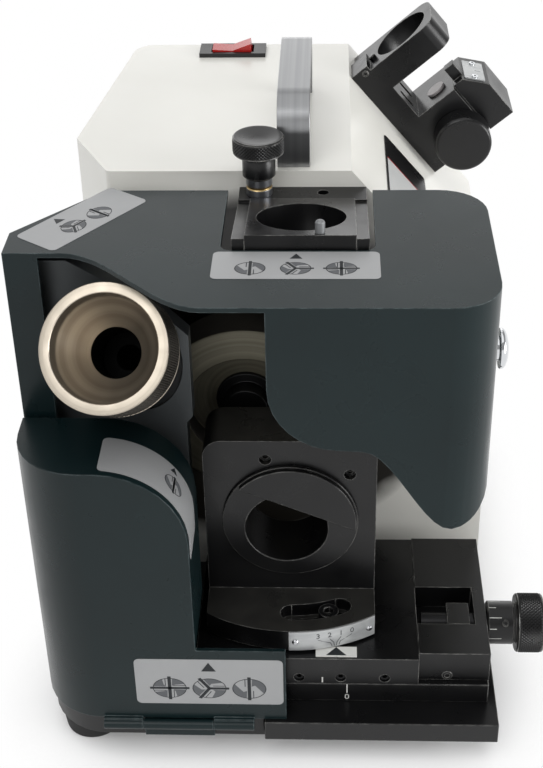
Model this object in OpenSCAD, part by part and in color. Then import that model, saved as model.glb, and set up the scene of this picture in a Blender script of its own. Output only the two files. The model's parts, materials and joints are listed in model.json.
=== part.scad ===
// Tool and cutter grinder: a bench machine that re-sharpens end mills held in a collet chuck.
// Lengths are in millimetres. X runs to the right, Y to the back, Z up from the floor.

/* [Base] */
// Height of the rubber feet
foot_h = 9; // [6:0.5:14]
// Radius of one foot
foot_r = 13; // [9:0.5:16]
// Thickness of the base plate
base_h = 12; // [10:0.5:16]
// Floor left under the slide base
base_floor = 2.5; // [2:0.5:4]
// Radius of the screws that hold the feet
foot_screw_r = 2.5; // [2:0.25:3]

/* [Housing] */
// Half width of the guard and the door
half_w = 90; // [84:1:96]
// Front of the motor housing
body_front = 100; // [98.5:0.5:104]
// Gap between the guard and the motor housing
body_gap = 9; // [7:0.5:12]
// Depth of the motor housing
body_depth = 141; // [134:1:150]
// Height of the housing top
body_top = 224; // [221:0.5:228]
// Right wall of the housing
body_right = 99.5; // [96:0.5:104]
// Left wall of the housing at its widest
body_left = -75.6; // [-79:0.2:-73]
// Wall thickness of the housing
body_wall = 4; // [3:0.25:5]
// Start of the sloping shoulder
ridge_x = 38.5; // [35:0.5:42]
// Fall of the sloping shoulder in degrees
slope_deg = 49.6; // [47:0.2:52]
// Thickness of the rear cover
cover_t = 2.5; // [2:0.25:4]
// Vent slots in one column
vent_rows = 8; // [5:1:9]

/* [Guard and door] */
// Thickness of the guard and door sheet
sheet_t = 2; // [1.5:0.25:2.5]
// Height of the guard top
guard_top = 220; // [217:0.5:223]
// Depth of the guard top
guard_depth = 91; // [88:0.5:93]
// Front line of the left part of the guard
left_front = 39; // [38.5:0.25:41]
// Height of the door top
door_top = 148.4; // [144:0.4:152]
// Right edge of the tall part of the door
door_right = -23.5; // [-26:0.5:-22]
// Radius of the rounded upper corner of the door
door_round = 34; // [28:1:38]
// Top of the low part of the door
door_step_z = 60; // [58:0.5:64]
// Right end of the low part of the door
door_step_x = 12.7; // [8:0.5:16]
// Depth of the door flange
door_depth = 37; // [33:0.5:38]
// Hinge barrel radius
barrel_r = 2.2; // [2:0.1:2.4]
// Hinge pin radius
hinge_pin_r = 1; // [0.8:0.1:1.2]
// Radius of the mushroom screw head
mushroom_r = 7.8; // [6.5:0.2:9]

/* [Spindle and wheel] */
// Spindle position across
spindle_x = -5; // [-7:0.5:-3]
// Spindle height
spindle_z = 126; // [124:0.5:129]
// Spindle shaft radius
shaft_r = 5; // [4:0.5:6]
// Grinding wheel radius
wheel_r = 39; // [36:0.5:40]
// Recess radius of the cup wheel
wheel_recess_r = 25; // [22:0.5:28]
// Front rim of the wheel
wheel_front = 75; // [74:0.25:77]
// Width of the wheel
wheel_w = 18; // [16:0.5:19]
// Outer radius of the stator pack
stator_r = 48; // [44:1:50]
// Length of the stator pack
stator_l = 58; // [50:1:64]

/* [Chuck and ports] */
// Radius of the chuck shank
chuck_r = 16.95; // [16:0.05:17.5]
// Radial clearance of the chuck in its ports
port_clear = 0.05; // [0.03:0.01:0.1]
// Radius of the chuck knob
chuck_knob_r = 24.5; // [23.5:0.25:25]
// Length of the chuck knob
chuck_knob_l = 20; // [17:0.5:20.5]
// Length of the chuck shank
chuck_shank_l = 32; // [28:0.5:34]
// Radius of the hole through the knob
knob_hole_r = 9; // [7:0.5:9.5]
// Bore radius of the collet
collet_bore_r = 5; // [3:0.5:6]
// Dip of the left port in degrees
chuck_dip = 37.3; // [36.5:0.1:38.5]
// Wall of the left port sleeve
sleeve_wall = 2.5; // [2:0.25:3]
// Tilt of the top port in degrees
top_tilt = 9.5; // [8:0.25:10.5]
// Width of the top port block
top_block_w = 41; // [39:0.5:42]
// Depth of the top port block
top_block_d = 46.4; // [44:0.2:47]
// Thickness of the top port block
top_block_t = 14; // [11:0.5:16]
// Width of the top port frame
top_frame_w = 50.5; // [49:0.5:52]
// Radius of the plunger stem
plunger_stem_r = 6.5; // [5.5:0.25:7.5]
// Radius of the plunger head
plunger_head_r = 10.2; // [9:0.2:11.5]
// Height of the plunger head
plunger_head_h = 7; // [6:0.5:9]

/* [Slide table] */
// Front face of the rail and the slide
slide_front = 11; // [9.5:0.5:13]
// Back face of the rail and the slide
slide_back = 88; // [84:0.5:89.5]
// Height of the rail top
rail_top = 31.5; // [30.5:0.5:32.5]
// Height of the slide top
slide_top = 45.6; // [45:0.2:47]
// Right end of the table slide
slide_right = 67.5; // [65:0.5:69]
// Left end of the table slide
slide_left = -25; // [-26:0.5:-22]
// Right end of the screw bracket
bracket_right = 97; // [95.5:0.5:99]
// Feed screw thread radius
feed_r = 4; // [3:0.25:4.5]
// Dial collar radius
dial_r = 9.2; // [8:0.2:11]
// Dial collar length
dial_l = 12.2; // [10:0.2:15]
// Feed knob radius
feed_knob_r = 12.7; // [11:0.25:15]
// Feed knob length
feed_knob_l = 11.5; // [9:0.5:14]

/* [Swivel and front port] */
// Pivot position across
pivot_x = 14.1; // [13:0.1:15]
// Pivot position in depth
pivot_y = 78; // [77:0.25:79]
// Radius of the swivel plate front arc
swivel_r = 63; // [61.5:0.25:64]
// Thickness of the swivel plate
swivel_t = 11.4; // [10.5:0.2:12.5]
// Front face of the upright
upright_front = 41.7; // [40.7:0.1:43]
// Thickness of the upright
upright_t = 24; // [20:0.5:25]
// Top of the upright
upright_top = 134; // [131:0.5:136]
// Height of the sleeve centre
front_port_z = 94.4; // [93:0.2:96]
// Radius of the sleeve flange
sleeve_flange_r = 28; // [27.5:0.25:28.5]
// Radius of the sleeve body in the upright
sleeve_body_r = 23.5; // [23:0.25:24.5]
// Offset of the bore from the sleeve centre
eccentric = 4; // [2:0.25:4.5]
// Distance of the half-moon edge from the sleeve centre
moon_edge = 7.9; // [6:0.2:10]

/* [Setting gauge] */
// Front face of the gauge
gauge_front = 200; // [199:0.5:204]
// Radius of the setting ring's bore
gauge_bore_r = 13.5; // [12:0.25:13.75]
// Width of the ring arm
ring_w = 30; // [29:0.5:32]
// Thickness of the ring arm
ring_t = 13.2; // [11:0.2:13.2]
// Wall over the ring's bore
ring_wall = 3.6; // [3:0.2:5]
// Corner radius of the ring arm
ring_corner = 6.5; // [5:0.5:8]
// Thickness of the gauge bar
bar_t = 11.6; // [10:0.2:12.4]
// Depth of the gauge bar
bar_w = 25.5; // [24:0.5:30]
// Length of the gauge
gauge_l = 63; // [60:0.5:66]
// Upper face of the lower arm
arm_u = 36; // [34:0.5:38]
// Outer face of the lower arm
arm_v = 32; // [31:0.25:34]
// Outer face of the gauge block
block_v = 45; // [42:0.5:48]
// Radius of the gauge knob
gauge_knob_r = 12.9; // [11:0.3:13.2]

/* [Handle and switch] */
// Width of the handle strap
strap_w = 13; // [10:0.5:18]
// Thickness of the handle strap
strap_t = 5; // [4.5:0.25:6]
// Height of the handle above the housing
handle_h = 28; // [22:0.5:32]
// Span of the handle
handle_l = 82; // [74:1:90]
// Outer bend radius of the handle
handle_bend = 14; // [10:0.5:18]
// Length of the switch bezel
bezel_l = 31; // [28:0.5:33]
// Width of the switch bezel
bezel_w = 13.5; // [12:0.25:15]

/* [Hidden] */
$fn = 64;
run_clear = 0.05;
base_top = foot_h + base_h;
base_front = 3;
guard_back = body_front - body_gap;
guard_front = guard_back - guard_depth;
body_back = body_front + body_depth;
base_left = -half_w + 1;
flange_right = -half_w + 13;
plate_left = -half_w + 6;
feet = [[-72, 20], [75, 22], [-60, 215], [70, 215]];
sin_s = sin(slope_deg);
cos_s = cos(slope_deg);
port_r = chuck_r + port_clear;
slide_base_z = foot_h + base_floor;
slide_base_top = base_top + 0.5;
hinge_y = -1.5;
hinge_z = 19.5;
chuck_face = [-52, 18, 192.4];
chuck_turn = 8.3;
sleeve_r = port_r + sleeve_wall;
top_x = 19.2;
top_origin = [top_x, 43.5, 225];
top_bore_s = top_block_d / 2 - 0.8;
plunger_pos = [top_x - top_block_w / 2 + 3.4, body_front - 5.4];
back_bar_z = 217;
collar_h = 7.5;
plunger_stem_z = back_bar_z + collar_h;
plunger_head_z = back_bar_z + 17.5;
feed_y = 40;
feed_z = 40;
tail_lo = slide_front + 11;
tail_hi = slide_back - 10;
tail_h = 3.3;
rail_right = bracket_right - 0.2;
journal_r = feed_r + 0.8;
swivel_top = slide_top + swivel_t;
upright_x0 = pivot_x - 35.1;
upright_x1 = pivot_x + 35.2;
slot_r = 51.6;
lock_deg = 17.9;
moon_dir = 23.57;
bore_x = pivot_x - eccentric * sin(moon_dir);
bore_z = front_port_z - eccentric * cos(moon_dir);
sleeve_y0 = upright_front - 1.7;
ring_u = 4.2;
ring_v = bar_t + 15.5;
ring_end = ring_v + gauge_bore_r + ring_wall;
slot_y = [6.5, 17];
knob_u = 56;
knob_v = 21;
switch_x = -16;
switch_y = 230.5;
handle_x = 15.5;
handle_y0 = body_front + 3.2;
wheel_back = wheel_front + wheel_w;
stator_y0 = body_front + body_wall + 18;
stator_y1 = stator_y0 + stator_l;
bearing_r = 13;
inlet_pos = [-30, 62];
post_z = 179;
post_y = 40;
post_x = 58;
post_w = 12;
post_h = 14;
post_clear = 0.5;
x_max = bracket_right + 0.5 + dial_l + feed_knob_l;
y_min = hinge_y - barrel_r;
y_max = body_back + cover_t + 2;
centre = [(x_max - half_w) / 2, (y_min + y_max) / 2, 0];

// Points of a path whose inner corners are rounded: each corner is [x, y, radius]
function unit2(v) = v / norm(v);
function corner_pts(a, b, c, r) =
    let (u = unit2([a[0] - b[0], a[1] - b[1]]), w = unit2([c[0] - b[0], c[1] - b[1]]),
         half = acos(max(-1, min(1, u * w))) / 2, d = r / tan(half),
         m = unit2(u + w), o = [b[0], b[1]] + m * (r / sin(half)),
         p = [b[0], b[1]] + u * d, q = [b[0], b[1]] + w * d,
         a0 = atan2(p[1] - o[1], p[0] - o[0]), a1 = atan2(q[1] - o[1], q[0] - o[0]),
         turn = a1 - a0 > 180 ? a1 - a0 - 360 : a1 - a0 < -180 ? a1 - a0 + 360 : a1 - a0)
    [for (k = [0:8]) o + r * [cos(a0 + turn * k / 8), sin(a0 + turn * k / 8)]];
function open_path(c) = [for (k = [0:len(c) - 1])
    each (k == 0 || k == len(c) - 1 || c[k][2] <= 0 ? [[c[k][0], c[k][1]]]
        : corner_pts(c[k - 1], c[k], c[k + 1], c[k][2]))];
function closed_path(c) = let (n = len(c)) [for (k = [0:n - 1])
    each (c[k][2] <= 0 ? [[c[k][0], c[k][1]]]
        : corner_pts(c[(k + n - 1) % n], c[k], c[(k + 1) % n], c[k][2]))];
function reversed(p) = [for (k = [len(p) - 1:-1:0]) p[k]];
function ease(t) = t * t * (3 - 2 * t);
function ease_curve(p, q, steps) = [for (k = [0:steps])
    [p[0] + (q[0] - p[0]) * k / steps, p[1] + (q[1] - p[1]) * ease(k / steps)]];

// Every module is drawn from the guard's centre line and front face, then moved to the shared centre
module placed() { translate(-centre) children(); }
module along_y(x, z, y0) { translate([x, y0, z]) rotate([-90, 0, 0]) children(); }
module along_x(y, z, x0) { translate([x0, y, z]) rotate([0, 90, 0]) children(); }
module in_chuck() { translate(chuck_face) rotate([-(90 + chuck_dip), 0, -chuck_turn]) children(); }
module in_top() { translate(top_origin) rotate([-top_tilt, 0, 0]) children(); }
module in_gauge() { translate([ridge_x, 0, body_top]) rotate([0, slope_deg, 0]) children(); }
module front_shape(y0, depth) { translate([0, y0 + depth, 0]) rotate([90, 0, 0]) linear_extrude(depth) children(); }
module tube(r_out, r_in, h) {
    difference() { cylinder(h = h, r = r_out); translate([0, 0, -1]) cylinder(h = h + 2, r = r_in); }
}

module base_plate() placed() color("#232426") difference() {
    translate([0, 0, foot_h]) linear_extrude(base_h) polygon(closed_path([
        [base_left, base_front, 26], [94, base_front, 8], [94, 92, 0], [body_right - 1.5, 96, 0],
        [body_right - 1.5, body_back, 10], [-64, body_back, 10], [body_left, 132, 0], [-64, 104, 0],
        [base_left, 58, 0]]));
    translate([3, -5, slide_base_z]) cube([100, 95.5, base_h]);
    for (p = feet) translate([p[0], p[1], foot_h - 1]) cylinder(h = base_floor + 1, r = foot_screw_r + run_clear);
}

module rubber_feet() placed() color("#1a1a1a") for (p = feet) translate([p[0], p[1], 0]) difference() {
    cylinder(h = foot_h, r1 = foot_r - 1, r2 = foot_r);
    translate([0, 0, -1]) cylinder(h = 6, r = foot_screw_r + 2.7);
    cylinder(h = foot_h + 1, r = foot_screw_r + 0.1);
}

module foot_screws() placed() color("#b9bcc0") for (p = feet) translate([p[0], p[1], 0]) difference() {
    union() {
        translate([0, 0, 2]) cylinder(h = 3, r = foot_screw_r + 2);
        translate([0, 0, 4]) cylinder(h = slide_base_z - 4.1, r = foot_screw_r);
    }
    translate([0, 0, 1]) cylinder(h = 2.5, r = 1.5, $fn = 6);
}

// Housing section across, drawn in X and Z, moved in by the given amount
function slope_top_x(i) = ridge_x + i * (cos_s - 1) / sin_s;
function slope_low_z(i) = body_top - (i + (body_right - i - ridge_x) * sin_s) / cos_s;
function section(i, low) = [[-100, low], [body_right - i, low], [body_right - i, slope_low_z(i)],
    [slope_top_x(i), body_top - i], [-100, body_top - i]];
function plan(i, back) = closed_path([[-59 + i * 0.6, body_front + i, i > 0 ? 0 : 3], [body_right + 20, body_front + i, 0],
    [body_right + 20, back, 0], [-62 + i * 1.1, back, i > 0 ? 0 : 10], [body_left + i * 1.05, 132, 0]]);

module housing_block(i, low, back) intersection() {
    front_shape(body_front - 1, back - body_front + 2) polygon(section(i, low));
    translate([0, 0, low]) linear_extrude(body_top) polygon(plan(i, back));
}

module body_shell() placed() color("#ebeae4") difference() {
    housing_block(0, base_top, body_back);
    housing_block(body_wall, base_top - 1, body_back + 1);
    along_y(spindle_x, spindle_z, body_front - 1) cylinder(h = body_wall + 2, r = 15);
    translate([switch_x - bezel_l / 2 + 1.2, switch_y - bezel_w / 2 + 1.2, body_top - body_wall - 1])
        cube([bezel_l - 2.4, bezel_w - 2.4, body_wall + 2]);
    for (y = [handle_y0 + strap_t / 2, handle_y0 + handle_l - strap_t / 2]) {
        translate([handle_x, y, body_top - body_wall - 1]) cylinder(h = body_wall + 2, r = 1.6);
        translate([handle_x, y, body_top - 18]) cylinder(h = 18 - body_wall, r = 3.3);
    }
}

module rear_cover() placed() color("#ebeae4") difference() {
    front_shape(body_back, cover_t) polygon([[-58, base_top + 1], [body_right - 1, base_top + 1],
        [body_right - 1, slope_low_z(1)], [slope_top_x(1), body_top - 1], [-58, body_top - 1]]);
    for (k = [0:vent_rows - 1], x = [-34, 20])
        translate([x, body_back - 1, 108 + k * 9]) cube([34, cover_t + 2, 3.5]);
    translate([inlet_pos[0] - 14, body_back - 1, inlet_pos[1] - 10.2]) cube([28, cover_t + 2, 20.4]);
    for (p = cover_screws) along_y(p[0], p[1], body_back - 1) cylinder(h = cover_t + 2, r = 2);
}

cover_screws = [[-50, base_top + 9], [body_right - 9, base_top + 9], [-50, body_top - 10], [ridge_x - 8, body_top - 10]];
module rear_cover_screws() placed() color("#b9bcc0") for (p = cover_screws) along_y(p[0], p[1], body_back) difference() {
    union() {
        translate([0, 0, cover_t]) cylinder(h = 1.8, r = 3.2);
        cylinder(h = cover_t + 0.5, r = 1.9);
    }
    translate([0, 0, cover_t + 0.8]) cylinder(h = 2, r = 1.3, $fn = 6);
}

module stator_pack() placed() color("#8d9196") along_y(spindle_x, spindle_z, stator_y0)
    tube(stator_r, 27, stator_l);

module stator_windings() placed() color("#b5672e") for (y = [stator_y0 - 11, stator_y1])
    along_y(spindle_x, spindle_z, y) tube(42, 29, 11);

module motor_end_bells() placed() color("#9ea2a6") {
    along_y(spindle_x, spindle_z, body_front + body_wall) difference() {
        cylinder(h = 18, r = stator_r + 2);
        translate([0, 0, 5]) cylinder(h = 14, r = stator_r - 4);
        translate([0, 0, -1]) cylinder(h = 8, r = bearing_r);
        translate([0, 0, -1]) cylinder(h = 20, r = 8);
    }
    along_y(spindle_x, spindle_z, stator_y1) difference() {
        cylinder(h = 20, r = stator_r + 2);
        translate([0, 0, -1]) cylinder(h = 14, r = stator_r - 4);
        translate([0, 0, 12]) cylinder(h = 9, r = bearing_r);
        translate([0, 0, -1]) cylinder(h = 30, r = 8);
    }
}

module spindle_bearings() placed() color("#c9ccd0") for (y = [body_front + body_wall, stator_y1 + 12])
    along_y(spindle_x, spindle_z, y) tube(bearing_r, shaft_r + run_clear, y < stator_y0 ? 5 : 8);

module run_capacitor() placed() color("#d8d9da") along_y(62, base_top + 19, body_front + 40) cylinder(h = 55, r = 19);

module spindle() placed() color("#c9ccd0") union() {
    along_y(spindle_x, spindle_z, wheel_front + 2) cylinder(h = stator_y1 + 34 - wheel_front - 2, r = shaft_r);
    along_y(spindle_x, spindle_z, stator_y0 - 4) cylinder(h = stator_l + 8, r = shaft_r + 2);
}

module rotor_core() placed() color("#8d9196") along_y(spindle_x, spindle_z, stator_y0)
    tube(26.4, shaft_r + 2, stator_l);

module cooling_fan() placed() color("#2a2b2d") along_y(spindle_x, spindle_z, stator_y1 + 22) union() {
    tube(10, shaft_r, 10);
    for (k = [0:7]) rotate([0, 0, k * 45]) translate([9, -1, 0]) cube([27, 2, 9]);
}

module wheel_hub() placed() color("#3a3d40") along_y(spindle_x, spindle_z, wheel_back) difference() {
    union() {
        cylinder(h = 4, r = 17);
        translate([0, 0, -8]) cylinder(h = 9, r = 10);
    }
    translate([0, 0, -9]) cylinder(h = 20, r = shaft_r);
}

module grinding_wheel() placed() color("#8a8078") along_y(spindle_x, spindle_z, wheel_front) difference() {
    cylinder(h = wheel_w, r = wheel_r);
    translate([0, 0, -1]) cylinder(h = wheel_w - 7, r = wheel_recess_r);
    translate([0, 0, -1]) cylinder(h = wheel_w + 2, r = 10);
}

module wheel_nut() placed() color("#2e3133") along_y(spindle_x, spindle_z, wheel_front + 1) difference() {
    union() {
        cylinder(h = 8, r = 9);
        translate([0, 0, 7]) cylinder(h = 2, r = 13);
    }
    translate([0, 0, 1]) cylinder(h = 20, r = shaft_r);
}

// Lower edge of the guard's front wall, in X and Z
function wave() = concat([[7.7, 186]],
    [for (k = [1:8]) [33.5 - 25.8 * cos(k * 90 / 8), 186 - 26 * sin(k * 90 / 8)]],
    ease_curve([42, 159.5], [76, 123.6], 10),
    [for (k = [1:6]) [76 + (half_w + 0.5 - 76) * sin(k * 15), 123.6 + 14 * (1 - cos(k * 15))]]);

function top_outline() = concat(
    open_path([[half_w - 30, guard_back, 0], [half_w, guard_back, 18], [half_w, guard_front, 18],
        [-14.6, guard_front, 0]]),
    reversed(ease_curve([-half_w + 22, left_front], [-14.6, guard_front], 16)),
    [[-half_w, left_front], [-half_w, 55], [-58.3, guard_back]]);

function wall_ring(i) = open_path([[7.7, guard_front + i, 0], [half_w - i, guard_front + i, 18 - i],
    [half_w - i, guard_back - i, 18 - i], [half_w - 19, guard_back - i, 0]]);

module upper_guard() placed() color("#2b383d") difference() {
    union() {
        difference() {
            translate([0, 0, guard_top - sheet_t]) linear_extrude(sheet_t) polygon(top_outline());
            translate([0, 0, guard_top - sheet_t - 1]) linear_extrude(sheet_t + 2) polygon(closed_path([[-10, 41.3, 4],
                [46.6, 41.3, 4], [46.6, guard_back + 10, 0], [-10, guard_back + 10, 0]]));
        }
        difference() {
            translate([0, 0, 110]) linear_extrude(guard_top - 110)
                polygon(concat(wall_ring(0), reversed(wall_ring(sheet_t))));
            front_shape(guard_front - 5, guard_depth + 10) polygon(concat(wave(), [[half_w + 5, 137], [half_w + 5, 100], [0, 100], [0, 186]]));
        }
        translate([0, 0, base_top]) linear_extrude(guard_top - base_top) polygon([
            [flange_right, left_front], [-half_w, left_front], [-half_w, 55], [-58.3, guard_back],
            [-58.3 + sheet_t, guard_back - 0.8], [-half_w + sheet_t, 55 - 0.8],
            [-half_w + sheet_t, left_front + sheet_t], [flange_right, left_front + sheet_t]]);
        translate([-58.3, guard_back - 1.5, base_top])
            cube([sheet_t, body_gap + 1.5, guard_top - base_top - 8]);
    }
    along_x(post_y, post_z, half_w - 10) cylinder(h = 20, r = 4.1);
    translate([post_x - post_clear, post_y, post_z - post_h / 2 - post_clear])
        cube([post_w + 2 * post_clear, body_front - post_y, post_h + 2 * post_clear]);
}

module guard_post() placed() color("#2b383d") difference() {
    union() {
        translate([post_x, post_y - 8, post_z - post_h / 2]) cube([post_w, body_front - post_y + 8, post_h]);
        translate([post_x, post_y - 8, post_z - post_h / 2]) cube([half_w - sheet_t - post_x, 16, post_h]);
    }
    along_x(post_y, post_z, half_w - 24) cylinder(h = 40, r = 4);
}

module guard_screw() placed() color("#d5d8dc") along_x(post_y, post_z, half_w - 14) rotate_extrude() polygon(concat(
    [[0, 0], [3.95, 0], [3.95, 14], [4.8, 14], [4.8, 17.6], [mushroom_r, 17.6], [mushroom_r, 18.6]],
    [for (k = [1:6]) [mushroom_r * cos(k * 15), 18.6 + 2.6 * sin(k * 15)]]));

// Door outline in X and Z
function door_outline(i) = closed_path([[-half_w + i, hinge_z + 2 + (i > 0 ? -4 : 0), 0],
    [door_right - i, hinge_z + 2 + (i > 0 ? -4 : 0), 0], [door_right - i, door_top - i, door_round - i],
    [-half_w + i, door_top - i, 0]]);
function door_plan(i) = closed_path([[-half_w + i, i, 26 - i], [40, i, 0], [40, door_depth + i, 0],
    [-half_w + i, door_depth + i, 0]]);

module door_solid(i, y0) intersection() {
    front_shape(y0, door_depth + 2) polygon(door_outline(i));
    linear_extrude(door_top + 10) polygon(door_plan(i));
}

knuckles = [[-63.5, -47.2], [-17.5, -0.7]];
module hinged_door() placed() color("#2b383d") difference() {
    union() {
        difference() {
            door_solid(0, 0);
            door_solid(sheet_t, 0);
            translate([door_right - sheet_t - 0.5, sheet_t, 0]) cube([5, door_depth + 5, door_step_z]);
        }
        translate([door_right - 5, 0, hinge_z + 2]) cube([door_step_x - door_right + 5, sheet_t, door_step_z - hinge_z - 2]);
        for (k = knuckles) {
            along_x(hinge_y, hinge_z, k[0]) cylinder(h = k[1] - k[0], r = barrel_r);
            translate([k[0], hinge_y, hinge_z]) cube([k[1] - k[0], sheet_t - hinge_y, 3]);
        }
        translate([-half_w + sheet_t - 0.5, 31, 110]) cube([12, 1.5, 16]);
    }
    along_x(hinge_y, hinge_z, -70) cylinder(h = 80, r = hinge_pin_r + run_clear);
}

module door_catch() placed() color("#3a3b3d") along_y(-half_w + 7, 118, 32.6) cylinder(h = left_front - 32.6, r = 4);

module hinge_leaf() placed() color("#2b383d") difference() {
    union() {
        along_x(hinge_y, hinge_z, -47) cylinder(h = 29.3, r = barrel_r);
        translate([-47, hinge_y, hinge_z - barrel_r]) cube([29.3, base_front - hinge_y, 1.6]);
        translate([-47, base_front - 1.8, 10]) cube([29.3, 1.8, hinge_z - barrel_r - 9]);
    }
    along_x(hinge_y, hinge_z, -70) cylinder(h = 80, r = hinge_pin_r);
}

module hinge_pin() placed() color("#b9bcc0") along_x(hinge_y, hinge_z, -63.5) cylinder(h = 62.8, r = hinge_pin_r);

module top_port_frame() placed() color("#2a2b2d") difference() {
    union() {
        in_top() translate([-top_frame_w / 2, 0.5, -20]) cube([top_frame_w, top_block_d, 18.5]);
        translate([top_x - top_frame_w / 2, 88.5, 182]) cube([top_frame_w, body_front - 88.5, back_bar_z - 182]);
    }
    in_top() translate([-top_block_w / 2, -1, -top_block_t]) cube([top_block_w, top_block_d + 1, 40]);
    in_top() translate([0, top_bore_s, -30]) cylinder(h = 30, r = port_r + 0.6);
    translate([plunger_pos[0], plunger_pos[1], 190]) cylinder(h = 40, r = 3.05);
    translate([27.3, body_front - 5, 205]) cylinder(h = 20, r = 2.2);
}

module top_port_block() placed() color("#2f3032") in_top() difference() {
    translate([-top_block_w / 2, 0, -top_block_t]) cube([top_block_w, top_block_d, top_block_t]);
    translate([0, top_bore_s, -top_block_t - 1]) cylinder(h = top_block_t + 2, r = port_r);
    translate([7.2, 3.4, -6]) cylinder(h = 10, r = 1.9);
}

module top_index_pin() placed() color("#3b3d40") in_top() translate([7.2, 3.4, -6]) union() {
    cylinder(h = 10, r = 1.88);
    translate([0, 0, 10]) cylinder(h = 0.8, r1 = 1.88, r2 = 1.1);
}

module plunger_collar() placed() color("#c9a75a") translate([plunger_pos[0], plunger_pos[1], back_bar_z])
    rotate_extrude() polygon([[3.05, 0], [5.2, 0], [5.2, 3], [4.8, 3.3], [4.8, 4], [5.2, 4.3], [5.2, collar_h],
    [3.05, collar_h]]);

module plunger_knob() placed() color("#2e3033") translate([plunger_pos[0], plunger_pos[1], 0]) rotate_extrude() polygon([
    [0, 196], [3, 196], [3, plunger_stem_z], [plunger_stem_r - 0.8, plunger_stem_z], [plunger_stem_r, plunger_stem_z + 0.8],
    [plunger_stem_r, plunger_head_z], [plunger_head_r - 0.7, plunger_head_z], [plunger_head_r, plunger_head_z + 0.7],
    [plunger_head_r, plunger_head_z + plunger_head_h - 0.7], [plunger_head_r - 0.7, plunger_head_z + plunger_head_h],
    [plunger_head_r - 2, plunger_head_z + plunger_head_h], [3, plunger_head_z + plunger_head_h - 1.4],
    [0, plunger_head_z + plunger_head_h - 1.4]]);

module left_port_bracket() placed() color("#8f9396") difference() {
    front_shape(50, 8) polygon([[plate_left, base_top], [-27, base_top], [-27, 137], [-24.5, 140], [-24.5, 178],
        [-38, 192], [plate_left + 15, 211], [plate_left, 211]]);
    in_chuck() cylinder(h = 80, r = sleeve_r);
}

module left_port_sleeve() placed() color("#3a3d40") in_chuck() translate([0, 0, chuck_knob_l + 0.6])
    tube(sleeve_r, port_r, chuck_shank_l + 1);

module chuck_knob() placed() color("#c4b8a6") in_chuck() rotate_extrude() polygon([
    [knob_hole_r, chuck_knob_l - 2], [20.5, 0.6], [21.2, 0], [chuck_knob_r - 1, 0], [chuck_knob_r, 1],
    [chuck_knob_r, chuck_knob_l - 1], [chuck_knob_r - 1, chuck_knob_l], [12.4, chuck_knob_l],
    [12.4, chuck_knob_l + 14], [knob_hole_r, chuck_knob_l + 14]]);

module chuck_body() placed() color("#33363a") in_chuck() translate([0, 0, chuck_knob_l]) rotate_extrude() polygon([
    [12.5, 0.3], [chuck_r, 0.3], [chuck_r, chuck_shank_l], [14, chuck_shank_l + 6], [13, chuck_shank_l + 6],
    [11, 20], [11, 15], [12.5, 15]]);

module collet() placed() color("#c9ccd0") in_chuck() translate([0, 0, chuck_knob_l]) rotate_extrude() polygon([
    [collet_bore_r, 18], [10.6, 18], [10.6, 20], [12.8, chuck_shank_l + 6], [11.6, chuck_shank_l + 8],
    [collet_bore_r, chuck_shank_l + 8]]);

module slide_base() placed() color("#2a2b2d") translate([3.5, -2, slide_base_z]) cube([97, 92, slide_base_top - slide_base_z]);

// Dovetail section in Y and Z, grown by the given clearance
module dovetail(c) rotate([90, 0, 90]) linear_extrude(200) polygon([[tail_lo + 2 - c, rail_top - c],
    [tail_hi - 2 + c, rail_top - c], [tail_hi + c, rail_top + tail_h + c], [tail_lo - c, rail_top + tail_h + c]]);

module slide_rail() placed() color("#2a2b2d") union() {
    translate([3.5, slide_front, slide_base_top]) cube([rail_right - 3.5, slide_back - slide_front, rail_top - slide_base_top]);
    intersection() {
        translate([-50, 0, 0]) dovetail(0);
        translate([3.5, slide_front, slide_base_top]) cube([rail_right - 3.5, slide_back - slide_front, 40]);
    }
}

module feed_nut() placed() color("#b08d4c") difference() {
    translate([80.5, feed_y - 6.5, rail_top + tail_h]) cube([9.5, 13, 45 - rail_top - tail_h]);
    along_x(feed_y, feed_z, 70) cylinder(h = 40, r = feed_r + run_clear);
}

module table_slide() placed() color("#2d2e30") difference() {
    translate([slide_left, slide_front, rail_top]) cube([slide_right - slide_left, slide_back - slide_front, slide_top - rail_top]);
    translate([-60, 0, 0]) dovetail(0.1);
    for (x = gib_x) along_y(x, 34.8, slide_front - 1) cylinder(h = 8, r = 2.15);
    translate([pivot_x, pivot_y, slide_top - 8]) cylinder(h = 20, r = 4);
    rotate_about_pivot(lock_deg) translate([0, -slot_r, slide_top - 8]) cylinder(h = 20, r = 2.5);
}
gib_x = [17.7, 35.1, 53.4];
module rotate_about_pivot(a) { translate([pivot_x, pivot_y, 0]) rotate([0, 0, a]) children(); }

module gib_screws() placed() color("#1c1d1e") for (x = gib_x) along_y(x, 34.8, slide_front + 1) difference() {
    cylinder(h = 6, r = 2.1);
    translate([0, 0, -1]) cylinder(h = 3, r = 1.1, $fn = 6);
}

module screw_bracket() placed() color("#2d2e30") difference() {
    translate([slide_right, slide_front + 3, rail_top]) cube([bracket_right - slide_right, slide_back - slide_front - 3, 14.8]);
    translate([-60, 0, 0]) dovetail(0.1);
    translate([slide_right - 1, 32, rail_top - 1]) cube([bracket_right - 5 - slide_right + 1, 23, 40]);
    along_x(feed_y, feed_z, bracket_right - 10) cylinder(h = 20, r = journal_r + run_clear);
}

module pointer_plate() placed() color("#e8e8e6") translate([24.7, slide_front + 1, slide_top]) cube([17, 5.6, 0.7]);

module swivel_pivot_pin() placed() color("#b9bcc0") translate([pivot_x, pivot_y, slide_top - 8]) cylinder(h = 8 + swivel_t, r = 4);

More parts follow.
